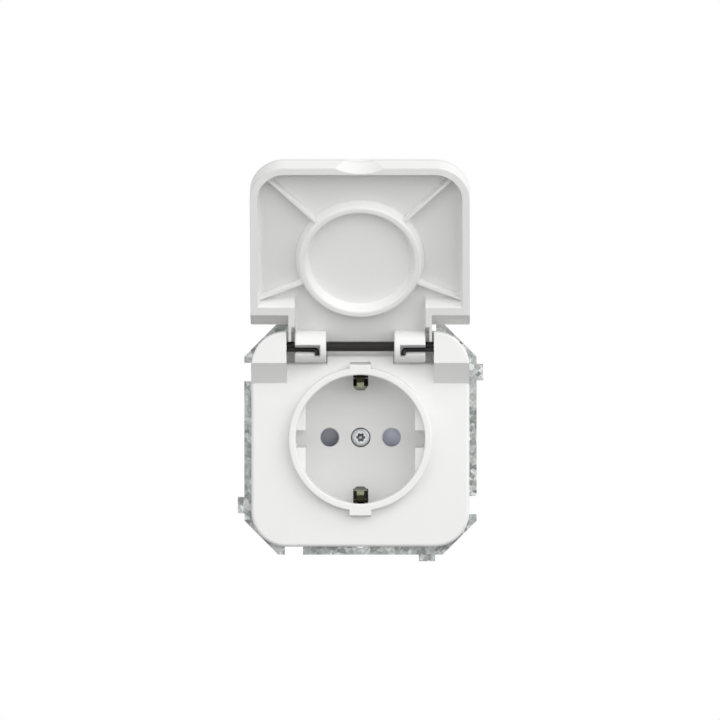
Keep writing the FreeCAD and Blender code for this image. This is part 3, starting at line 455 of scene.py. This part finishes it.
def soft_rubber(name, colour):
    """Black rubber with a little dust."""
    g = SurfaceGraph(name)
    dust = g.noise(1500.0, 3.0)
    g.set(
        Base_Color=g.mix(dust.between(0.4, 0.8), tinted(colour, 1.0), tinted(colour, 1.5)),
        Roughness=dust * 0.1 + 0.7,
        Normal=g.bump(dust, 0.01, 0.5, g.rounded(0.3)),
    )
    return g.material


# Modelling steps, in millimetres

def select_only(piece):
    bpy.ops.object.select_all(action="DESELECT")
    piece.select_set(True)
    bpy.context.view_layer.objects.active = piece


def start_piece(name):
    """Name the primitive just added, settle its place and enter edit mode with nothing selected."""
    piece = bpy.context.active_object
    piece.name = name
    piece.data.name = name
    select_only(piece)
    bpy.ops.object.transform_apply(location=True, rotation=True, scale=True)
    bpy.ops.object.mode_set(mode="EDIT")
    bpy.ops.mesh.select_all(action="DESELECT")
    return piece


def ring(place, radius, rotation, fill):
    """Add the wire's round section at a place, unfilled for the start of a tube."""
    bpy.ops.mesh.primitive_circle_add(
        vertices=WIRE_SIDES, radius=radius * MM, fill_type=fill, location=Vector(place) * MM,
        rotation=rotation)


def drum(sides, radius, depth, place):
    """Add a cylinder that lies along Y, centred at a place."""
    bpy.ops.mesh.primitive_cylinder_add(
        vertices=sides, radius=radius * MM, depth=depth * MM, location=Vector(place) * MM,
        rotation=(QUARTER, 0.0, 0.0))


def pick_faces(piece, test):
    """Select, in edit mode, the faces whose normal passes a test."""
    mesh = bmesh.from_edit_mesh(piece.data)
    bpy.ops.mesh.select_mode(type="FACE")
    bpy.ops.mesh.select_all(action="DESELECT")
    for face in mesh.faces:
        face.select_set(test(face.normal))
    bmesh.update_edit_mesh(piece.data)


def pick_edges(piece, test):
    """Select, in edit mode, the edges whose two ends both pass a test."""
    mesh = bmesh.from_edit_mesh(piece.data)
    bpy.ops.mesh.select_mode(type="EDGE")
    bpy.ops.mesh.select_all(action="DESELECT")
    for edge in mesh.edges:
        edge.select_set(all(test(vertex.co / MM) for vertex in edge.verts))
    bmesh.update_edit_mesh(piece.data)


def push(x=0.0, y=0.0, z=0.0):
    """Extrude what is selected."""
    bpy.ops.mesh.extrude_region_move(TRANSFORM_OT_translate={"value": (x * MM, y * MM, z * MM)})


def taper(share):
    """Shrink what is selected towards the recess axis."""
    bpy.ops.transform.resize(value=(share, 1.0, share), center_override=(0.0, 0.0, 0.0))


def sweep(centre, axis, angle, steps):
    """Carry the selected ring round a centre by the right-hand rule, which spin turns against."""
    bpy.ops.mesh.spin(steps=steps, angle=-angle, center=Vector(centre) * MM, axis=axis)


def end_piece(piece, body, slot, material, *replaced):
    """Leave edit mode, settle the piece in its mesh, give it its material, put it on its body and hide what it
    stands for.
    """
    bpy.ops.mesh.select_all(action="SELECT")
    bpy.ops.mesh.remove_doubles(threshold=0.001 * MM)
    bpy.ops.mesh.normals_make_consistent(inside=False)
    bpy.ops.object.mode_set(mode="OBJECT")
    select_only(piece)
    bpy.ops.object.transform_apply(location=True, rotation=True, scale=True)
    bpy.ops.object.shade_smooth_by_angle(angle=math.radians(32))
    piece.data.materials.clear()
    piece.data.materials.append(material)
    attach(piece, body)
    if replaced:
        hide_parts(*replaced)


def mirror_piece(piece, name, body, slot, material, *replaced):
    """Copy a right-hand piece, with its own mesh, and turn it over to the left."""
    select_only(piece)
    bpy.ops.object.duplicate(linked=False)
    copy = start_piece(name)
    bpy.ops.mesh.select_all(action="SELECT")
    bpy.ops.transform.resize(value=(-1.0, 1.0, 1.0), center_override=(0.0, 0.0, 0.0))
    end_piece(copy, body, slot, material, *replaced)


def finish_node(node, material):
    """Give a CAD node its material."""
    piece = frame["nodes"][node]
    if not piece.material_slots:
        piece.data.materials.append(material)
    for slot in piece.material_slots:
        slot.material = material


class SocketFinishSettings(bpy.types.PropertyGroup):
    """The colours and finishes of the socket's pieces."""

    white: bpy.props.FloatVectorProperty(
        name="White plastic", description="Colour of the cover plate", subtype="COLOR", size=3,
        default=(0.86, 0.86, 0.85), min=0.0, max=1.0)
    lid_white: bpy.props.FloatVectorProperty(
        name="Lid plastic", description="Colour of the lid", subtype="COLOR", size=3,
        default=(0.86, 0.86, 0.85), min=0.0, max=1.0)
    plastic_roughness: bpy.props.FloatProperty(
        name="Plastic roughness", description="Sheen of the white mouldings", default=0.42,
        min=0.0, max=1.0, subtype="FACTOR")
    # Painted shade: the share of the white that the recess floor keeps
    recess_painted_shade: bpy.props.FloatProperty(
        name="Recess tone", description="Share of the white that the etched recess floor keeps",
        default=0.93, min=0.0, max=1.0, subtype="FACTOR")
    # Painted shade: the share of the white that the lid's tray keeps
    tray_painted_shade: bpy.props.FloatProperty(
        name="Tray tone", description="Share of the white that the lid's etched tray keeps",
        default=0.9, min=0.0, max=1.0, subtype="FACTOR")
    zinc: bpy.props.FloatVectorProperty(
        name="Zinc", description="Mean colour of the galvanised plate", subtype="COLOR", size=3,
        default=(0.44, 0.46, 0.45), min=0.0, max=1.0)
    rivet: bpy.props.FloatVectorProperty(
        name="Rivets", description="Colour of the plate's rivets", subtype="COLOR", size=3,
        default=(0.62, 0.62, 0.62), min=0.0, max=1.0)
    seal: bpy.props.FloatVectorProperty(
        name="Seal", description="Colour of the rubber ring behind the cover", subtype="COLOR", size=3,
        default=(0.05, 0.05, 0.05), min=0.0, max=1.0)
    carrier: bpy.props.FloatVectorProperty(
        name="Carrier", description="Colour of the round carrier", subtype="COLOR", size=3,
        default=(0.34, 0.35, 0.36), min=0.0, max=1.0)
    rear_cover: bpy.props.FloatVectorProperty(
        name="Rear cover", description="Colour of the carrier's rear cover", subtype="COLOR", size=3,
        default=(0.27, 0.28, 0.29), min=0.0, max=1.0)
    shutter: bpy.props.FloatVectorProperty(
        name="Shutter", description="Colour of the shutter behind the pin holes", subtype="COLOR",
        size=3, default=(0.62, 0.64, 0.74), min=0.0, max=1.0)
    clip: bpy.props.FloatVectorProperty(
        name="Earth strap", description="Colour of the tinned brass strap", subtype="COLOR", size=3,
        default=(0.62, 0.64, 0.5), min=0.0, max=1.0)
    brass: bpy.props.FloatVectorProperty(
        name="Contacts", description="Colour of the brass contacts", subtype="COLOR", size=3,
        default=(0.78, 0.58, 0.28), min=0.0, max=1.0)
    clamp: bpy.props.FloatVectorProperty(
        name="Clamps", description="Colour of the terminal clamps", subtype="COLOR", size=3,
        default=(0.66, 0.66, 0.66), min=0.0, max=1.0)
    leaf: bpy.props.FloatVectorProperty(
        name="Leaf spring", description="Colour of the shutter's leaf spring", subtype="COLOR", size=3,
        default=(0.6, 0.6, 0.62), min=0.0, max=1.0)
    small_screw: bpy.props.FloatVectorProperty(
        name="Small screws", description="Colour of the terminal and rear cover screws", subtype="COLOR",
        size=3, default=(0.7, 0.71, 0.73), min=0.0, max=1.0)
    centre_screw: bpy.props.FloatVectorProperty(
        name="Centre screw", description="Colour of the screw in the recess", subtype="COLOR", size=3,
        default=(0.68, 0.69, 0.7), min=0.0, max=1.0)
    rod: bpy.props.FloatVectorProperty(
        name="Hinge rod", description="Colour of the blackened rod", subtype="COLOR", size=3,
        default=(0.014, 0.013, 0.011), min=0.0, max=1.0)
    wire: bpy.props.FloatVectorProperty(
        name="Spring wire", description="Colour of the lid springs", subtype="COLOR", size=3,
        default=(0.004, 0.004, 0.004), min=0.0, max=1.0)


class SocketSpringSettings(bpy.types.PropertyGroup):
    """Sizes of the lid springs."""

    wire: bpy.props.FloatProperty(
        name="Wire radius", description="Radius of the round wire", default=0.7 * MM,
        min=0.2 * MM, max=0.72 * MM, unit="LENGTH", precision=5)
    coil: bpy.props.FloatProperty(
        name="Coil radius", description="Mean radius of each coil", default=2.4 * MM,
        min=2.3 * MM, max=2.45 * MM, unit="LENGTH", precision=5)
    turns: bpy.props.IntProperty(
        name="Turns", description="Whole turns of each coil", default=1, min=1, max=2)
    pitch: bpy.props.FloatProperty(
        name="Pitch", description="Advance of each turn", default=1.45 * MM, min=0.5 * MM,
        max=2.0 * MM, unit="LENGTH", precision=5)
    bend: bpy.props.FloatProperty(
        name="Bend radius", description="Radius of the wire's bends", default=0.95 * MM,
        min=0.75 * MM, max=1.0 * MM, unit="LENGTH", precision=5)
    hook: bpy.props.FloatProperty(
        name="Hook", description="Straight length of the hook past its bend", default=0.85 * MM,
        min=0.3 * MM, max=1.2 * MM, unit="LENGTH", precision=5)


class SocketScrewSettings(bpy.types.PropertyGroup):
    """Sizes of the centre screw."""

    head: bpy.props.FloatProperty(
        name="Head radius", description="Radius of the domed head", default=2.9 * MM,
        min=2.0 * MM, max=2.95 * MM, unit="LENGTH", precision=5)
    rim: bpy.props.FloatProperty(
        name="Rim height", description="Height of the head below its dome", default=1.5 * MM,
        min=0.5 * MM, max=1.6 * MM, unit="LENGTH", precision=5)
    recess: bpy.props.FloatProperty(
        name="Recess radius", description="Radius on which the recess's six lobes lie",
        default=1.05 * MM, min=0.5 * MM, max=1.5 * MM, unit="LENGTH", precision=5)
    lobe: bpy.props.FloatProperty(
        name="Lobe radius", description="Radius of each lobe", default=0.4 * MM, min=0.2 * MM,
        max=0.6 * MM, unit="LENGTH", precision=5)
    depth: bpy.props.FloatProperty(
        name="Recess depth", description="Depth of the recess before its pointed end",
        default=1.0 * MM, min=0.3 * MM, max=1.2 * MM, unit="LENGTH", precision=5)
    shank: bpy.props.FloatProperty(
        name="Shank radius", description="Radius of the plain shank", default=1.5 * MM,
        min=1.0 * MM, max=1.5 * MM, unit="LENGTH", precision=5)
    length: bpy.props.FloatProperty(
        name="Length", description="Length of the shank behind the head", default=10.0 * MM,
        min=2.0 * MM, max=10.0 * MM, unit="LENGTH", precision=5)


class SocketStageSettings(bpy.types.PropertyGroup):
    """Camera and light."""

    azimuth: bpy.props.FloatProperty(
        name="Azimuth", description="Camera angle to the right of square-on",
        default=math.radians(0.45), subtype="ANGLE")
    elevation: bpy.props.FloatProperty(
        name="Elevation", description="Camera angle above the horizon",
        default=math.radians(1.88), subtype="ANGLE")
    distance: bpy.props.FloatProperty(
        name="Distance", description="Camera distance", default=7.0, min=0.5, unit="LENGTH")
    field: bpy.props.FloatProperty(
        name="Field", description="Width of the view at the object", default=0.2199, min=0.05,
        unit="LENGTH")
    key: bpy.props.FloatProperty(
        name="Key light", description="Power of the light at the upper right", default=58.0, min=0.0,
        unit="POWER")
    side: bpy.props.FloatProperty(
        name="Side light", description="Power of the soft light far round to the right", default=80.0,
        min=0.0, unit="POWER")
    fill: bpy.props.FloatProperty(
        name="Fill light", description="Power of the soft light at the upper left", default=49.0,
        min=0.0, unit="POWER")
    lamp_distance: bpy.props.FloatProperty(
        name="Light distance", description="Distance of each light, and the side of its square",
        default=4.0, min=0.5, unit="LENGTH")
    sky_front: bpy.props.FloatProperty(
        name="Sky in front", description="Strength of the room's light from straight ahead",
        default=1.47, min=0.0)
    sky_back: bpy.props.FloatProperty(
        name="Sky behind", description="Strength of the room's light from behind the wall",
        default=1.2, min=0.0)
    floor_level: bpy.props.FloatProperty(
        name="Floor level", description="Height of the floor", default=-0.14, unit="LENGTH")
    floor_radius: bpy.props.FloatProperty(
        name="Floor radius", description="Radius of the floor's visible middle, before it fades",
        default=0.3, min=0.1, unit="LENGTH")


class SOCKET_OT_plastics(bpy.types.Operator):
    """Finish the white cover plate and lid"""

    bl_idname = "socket.plastics"
    bl_label = "Cover and Lid"

    def execute(self, context):
        look = context.scene.socket_finish
        finish_node("cover_plate", moulded_plastic(
            "cover plastic", look.white, look.plastic_roughness,
            recoloured=painted_recess_shade(look.recess_painted_shade)))
        finish_node("lid", moulded_plastic(
            "lid plastic", look.lid_white, look.plastic_roughness,
            recoloured=painted_tray_shade(look.tray_painted_shade)))
        return {"FINISHED"}


class SOCKET_OT_support(bpy.types.Operator):
    """Finish the galvanised support plate, its rivets and the seal"""

    bl_idname = "socket.support"
    bl_label = "Support Plate"

    def execute(self, context):
        look = context.scene.socket_finish
        finish_node("support_plate", galvanised_sheet("galvanised sheet", look.zinc))
        finish_node("plate_rivets", bright_metal("rivet steel", look.rivet, 0.35))
        finish_node("cover_seal", soft_rubber("seal rubber", look.seal))
        return {"FINISHED"}


class SOCKET_OT_carrier(bpy.types.Operator):
    """Finish the carrier, its rear cover with its screws, and the shutter"""

    bl_idname = "socket.carrier"
    bl_label = "Carrier"

    def execute(self, context):
        look = context.scene.socket_finish
        finish_node("socket_base", thermoset("carrier compound", look.carrier, 0.55, painted_shaft_shade=True))
        finish_node("base_cover", thermoset("rear cover compound", look.rear_cover, 0.5))
        finish_node("shutter", moulded_plastic(
            "shutter plastic", look.shutter, 0.5, grain=0.006, edge=0.2, recoloured=painted_pad_shading))
        finish_node("base_cover_screws", bright_metal("cover screw steel", look.small_screw, 0.28))
        return {"FINISHED"}


class SOCKET_OT_contacts(bpy.types.Operator):
    """Finish the earth strap, the contacts, and the terminals' clamps and screws"""

    bl_idname = "socket.contacts"
    bl_label = "Contacts"

    def execute(self, context):
        look = context.scene.socket_finish
        finish_node("earth_strap", tinned_strap("tinned strap", look.clip))
        brass = bright_metal("contact brass", look.brass, 0.28)
        clamp = bright_metal("clamp steel", look.clamp, 0.32)
        screw = bright_metal("terminal screw steel", look.small_screw, 0.25)
        for side in ("left", "right"):
            finish_node(f"contact_{side}", brass)
        for place in ("left", "right", "earth"):
            finish_node(f"terminal_clamp_{place}", clamp)
            finish_node(f"terminal_screw_{place}", screw)
        return {"FINISHED"}


class SOCKET_OT_leaf(bpy.types.Operator):
    """Copy the shutter's folded leaf spring, with its own mesh, in place of the CAD node"""

    bl_idname = "socket.leaf"
    bl_label = "Shutter Spring"

    def execute(self, context):
        low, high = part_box("shutter_spring")
        height = high[2] - low[2]
        lift = JOINTS["shutter_slide"]["range_m"][1]
        select_only(frame["nodes"]["shutter_spring"])
        bpy.ops.object.duplicate(linked=False)
        leaf = start_piece("shutter_leaf")
        steel = bright_metal("leaf steel", context.scene.socket_finish.leaf, 0.3)
        end_piece(leaf, "housing", "spring_steel", steel, "shutter_spring")
        # The share of its height that the shutter's lift and a little more leave
        1.0 - lift / height - 0.02
        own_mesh(leaf)
        return {"FINISHED"}


class SOCKET_OT_hinge(bpy.types.Operator):
    """Finish the black rod the lid turns on"""

    bl_idname = "socket.hinge"
    bl_label = "Hinge Rod"

    def execute(self, context):
        finish_node("hinge_rod", black_steel("black rod", context.scene.socket_finish.rod, 0.36, 0.3))
        return {"FINISHED"}


class SOCKET_OT_springs(bpy.types.Operator):
    """Bend the lid springs: a hook and leg in the barrel's slot, a coil in the block and a fixed leg"""

    bl_idname = "socket.springs"
    bl_label = "Lid Springs"

    def execute(self, context):
        size = context.scene.socket_springs
        steel = black_steel("black wire", context.scene.socket_finish.wire, 0.2, 0.32)
        coil_end = self.moving_wire(size, ("lid", "black_wire", steel))
        self.fixed_leg(size, coil_end, ("housing", "black_wire", steel))
        return {"FINISHED"}

    def moving_wire(self, size, kind):
        """Bend the wire that turns with the lid, and return how far out its coil ends."""
        wire, coil, pitch, bend, hook = (
            length / MM for length in (size.wire, size.coil, size.pitch, size.bend, size.hook))
        lean = math.radians(LEG_ANGLE)
        reach = coil + LEG_LIFT
        leg = Vector((HOOK_X + bend, AXIS_Y + reach * math.cos(lean), AXIS_Z + reach * math.sin(lean)))
        corner = Vector((BLOCK_INNER + COIL_INSET - bend, leg.y, leg.z))
        ring(leg, wire, (0.0, QUARTER, 0.0), "NOTHING")
        spring = start_piece("lid_spring_wire_right")
        bpy.ops.mesh.select_all(action="SELECT")
        push(x=corner.x - leg.x)
        # Round the bend, and on into the coil
        start = lean + math.acos(coil / reach)
        down = Vector((0.0, -math.sin(start), math.cos(start)))
        across = Vector((1.0, 0.0, 0.0))
        sweep(corner + down * bend, across.cross(down), QUARTER, 6)
        swept = math.radians(270 + 360 * size.turns) - start
        advance = pitch * swept / (2 * math.pi)
        steps = math.ceil(STEPS_A_TURN * swept / (2 * math.pi))
        for count in range(steps):
            sweep((0.0, AXIS_Y, AXIS_Z), across, swept / steps, 1)
            bpy.ops.transform.translate(value=(advance / steps * MM, 0.0, 0.0))
        bpy.ops.mesh.edge_face_add()
        # Back at the first ring, the hook turns into the slot's foot
        pick_edges(spring, lambda point: abs(point.x - leg.x) < 0.01)
        tilt = math.radians(SLOT_TILT)
        lower = Vector((0.0, -math.sin(tilt), -math.cos(tilt)))
        sweep(leg + lower * bend, lower.cross(across), QUARTER, 6)
        push(*(lower * hook))
        bpy.ops.mesh.edge_face_add()
        bpy.ops.mesh.bevel(offset=HOOK_ROUNDING * MM, segments=2, affect="EDGES")
        end_piece(spring, *kind, "lid_spring_right")
        mirror_piece(spring, "lid_spring_wire_left", *kind, "lid_spring_left")
        return corner.x + bend + advance

    def fixed_leg(self, size, coil_end, kind):
        """Draw out the leg that stays in the block and presses on the support plate."""
        ring((coil_end, AXIS_Y, AXIS_Z - size.coil / MM), size.wire / MM, (QUARTER, 0.0, 0.0), "NGON")
        leg = start_piece("lid_spring_leg_right")
        bpy.ops.mesh.select_all(action="SELECT")
        push(y=PLATE_FRONT - SEAT_GAP - AXIS_Y)
        end_piece(leg, *kind)
        mirror_piece(leg, "lid_spring_leg_left", *kind)


class SOCKET_OT_screw(bpy.types.Operator):
    """Model the centre screw: a domed head with a six-lobe recess, on a plain shank"""

    bl_idname = "socket.screw"
    bl_label = "Centre Screw"

    def execute(self, context):
        size = context.scene.socket_screw
        screw = self.head_and_shank(size)
        cutter = self.recess_cutter(size)
        select_only(screw)
        cut = screw.modifiers.new("recess", "BOOLEAN")
        cut.operation = "DIFFERENCE"
        cut.solver = "EXACT"
        cut.use_self = True
        cut.object = cutter
        bpy.ops.object.modifier_apply(modifier="recess")
        select_only(cutter)
        bpy.ops.object.delete()
        select_only(screw)
        soften = screw.modifiers.new("edges", "BEVEL")
        soften.width = EDGE_ROUNDING * MM
        soften.segments = 2
        soften.angle_limit = math.radians(50)
        bpy.ops.object.modifier_apply(modifier="edges")
        bpy.ops.object.mode_set(mode="EDIT")
        steel = recessed_screw("bright screw", context.scene.socket_finish.centre_screw)
        end_piece(screw, "housing", "screw_steel", steel, "centre_screw")
        return {"FINISHED"}

    def head_and_shank(self, size):
        """Raise the dome from a disc's front face and draw the shank from its rear face."""
        head, rim, shank, length = (
            value / MM for value in (size.head, size.rim, size.shank, size.length))
        drum(48, head, rim, (0.0, HEAD_REAR - rim / 2, 0.0))
        screw = start_piece("centre_screw_domed")
        pick_faces(screw, lambda normal: normal.y < -0.9)
        for inward, rise in DOME:
            bpy.ops.mesh.inset(thickness=inward * MM, depth=rise * MM)
        pick_faces(screw, lambda normal: normal.y > 0.9)
        bpy.ops.mesh.inset(thickness=(head - shank) * MM)
        push(y=length - TIP_LENGTH)
        push(y=TIP_LENGTH)
        taper(0.7)
        bpy.ops.object.mode_set(mode="OBJECT")
        return screw

    def recess_cutter(self, size):
        """Shape what cuts the recess: a pointed drum and six lobes round it."""
        rim, recess, lobe, depth = (value / MM for value in (size.rim, size.recess, size.lobe, size.depth))
        top = HEAD_REAR - rim - sum(rise for inward, rise in DOME)
        drum(36, recess, 2 * depth, (0.0, top, 0.0))
        cutter = start_piece("recess_cutter")
        pick_faces(cutter, lambda normal: normal.y > 0.9)
        push(y=0.35)
        taper(0.15)
        for count in range(6):
            turn = math.radians(60 * count)
            drum(16, lobe, 2 * depth, (recess * math.cos(turn), top, recess * math.sin(turn)))
        bpy.ops.object.mode_set(mode="OBJECT")
        return cutter


def outward(azimuth, elevation):
    """The direction from the socket at an angle right of square-on and one above the horizon."""
    level = math.cos(elevation)
    return Vector((math.sin(azimuth) * level, -math.cos(azimuth) * level, math.sin(elevation)))


class SOCKET_OT_stage(bpy.types.Operator):
    """Set the white surroundings, the lights and the camera"""

    bl_idname = "socket.stage"
    bl_label = "Stage"

    def execute(self, context):
        view = context.scene.socket_stage
        context.scene.view_settings.view_transform = "Standard"
        self.surroundings(context.scene, view)
        self.floor(view)
        self.camera(context.scene, view)
        for name, angles in LAMPS.items():
            self.lamp(name, *angles, getattr(view, name), view.lamp_distance)
        return {"FINISHED"}

    def surroundings(self, scene, view):
        """A white room to the camera and in reflections; its light comes from before and behind."""
        world = bpy.data.worlds.new("white room")
        scene.world = world
        world.use_nodes = True
        g = Graph(world.node_tree)
        background = next(node for node in g.nodes if node.type == "BACKGROUND")
        depth = g.part(g.add("ShaderNodeTexCoord", {}, {}, "Generated"), "Y")
        light = depth.between(0.0, -1.0) ** 2.0 * view.sky_front + depth.between(0.0, 1.0) * view.sky_back
        g.feed(background.inputs["Color"], shade(1.0))
        g.feed(background.inputs["Strength"], light + (1.0 - light) * g.seen_ray())

    def floor(self, view):
        """A pale floor that keeps the shadow and fades into the white room at its rim."""
        bpy.ops.object.select_all(action="DESELECT")
        bpy.ops.mesh.primitive_circle_add(vertices=96, radius=4 * view.floor_radius, fill_type="NGON")
        floor = start_piece("floor")
        bpy.ops.mesh.select_all(action="SELECT")
        bpy.ops.transform.translate(value=(0, 0, view.floor_level))
        bpy.ops.object.mode_set(mode="OBJECT")
        g = SurfaceGraph("pale floor")
        flat = g.add("ShaderNodeVectorMath", {"operation": "MULTIPLY"}, [g.place, (1, 1, 0)])
        distance = g.add("ShaderNodeVectorMath", {"operation": "LENGTH"}, [flat], "Value")
        fade = distance.between(view.floor_radius, 2.5 * view.floor_radius)
        # Dull in the light it passes on, so that it doesn't fill the shade, and pale to the camera
        g.set(Base_Color=g.mix(g.seen_ray(), shade(0.3), shade(0.88)), Roughness=0.8)
        glow = g.add("ShaderNodeEmission", {}, {"Color": shade(1.0), "Strength": 1.0})
        faded = g.add("ShaderNodeMixShader", {}, [fade * g.seen_ray(), g.shader_output(), glow])
        g.links.new(faded.socket, g.output.inputs["Surface"])
        floor.data.materials.append(g.material)

    def camera(self, scene, view):
        direction = outward(view.azimuth, view.elevation)
        bpy.ops.object.camera_add(location=AIM + direction * view.distance)
        camera = bpy.context.active_object
        camera.rotation_euler = (-direction).to_track_quat("-Z", "Y").to_euler()
        camera.data.lens = camera.data.sensor_width * view.distance / view.field
        camera.data.clip_end = 2 * view.distance
        scene.camera = camera

    def lamp(self, name, azimuth, elevation, power, distance):
        """Add a wide square light, at angles in degrees, turned to the socket."""
        direction = outward(math.radians(azimuth), math.radians(elevation))
        bpy.ops.object.light_add(type="AREA", location=direction * distance)
        lamp = bpy.context.active_object
        lamp.name = name
        lamp.data.size = distance
        lamp.data.energy = power
        lamp.rotation_euler = (AIM - lamp.location).to_track_quat("-Z", "Y").to_euler()


class SOCKET_PT_panel(bpy.types.Panel):
    """Lists the steps that finish the socket"""

    bl_label = "Outdoor Socket"
    bl_idname = "SOCKET_PT_panel"
    bl_space_type = "VIEW_3D"
    bl_region_type = "UI"
    bl_category = "Socket"

    def draw(self, context):
        for operator in STEPS:
            self.layout.operator(operator.bl_idname)
        for group in GROUPS:
            settings = getattr(context.scene, group)
            box = self.layout.box()
            for name in settings.bl_rna.properties.keys():
                if name not in ("rna_type", "name"):
                    box.prop(settings, name)


STEPS = (SOCKET_OT_plastics, SOCKET_OT_support, SOCKET_OT_carrier, SOCKET_OT_contacts, SOCKET_OT_leaf,
         SOCKET_OT_hinge, SOCKET_OT_springs, SOCKET_OT_screw, SOCKET_OT_stage)
GROUPS = {"socket_finish": SocketFinishSettings, "socket_springs": SocketSpringSettings,
          "socket_screw": SocketScrewSettings, "socket_stage": SocketStageSettings}
CLASSES = (*GROUPS.values(), *STEPS, SOCKET_PT_panel)


def register():
    for item in CLASSES:
        bpy.utils.register_class(item)
    for name, group in GROUPS.items():
        setattr(bpy.types.Scene, name, bpy.props.PointerProperty(type=group))


def unregister():
    for name in GROUPS:
        delattr(bpy.types.Scene, name)
    for item in reversed(CLASSES):
        bpy.utils.unregister_class(item)


def main():
    """Finish the whole socket."""
    register()
    for operator in STEPS:
        group, name = operator.bl_idname.split(".")
        getattr(getattr(bpy.ops, group), name)()


if __name__ == "__main__":
    main()
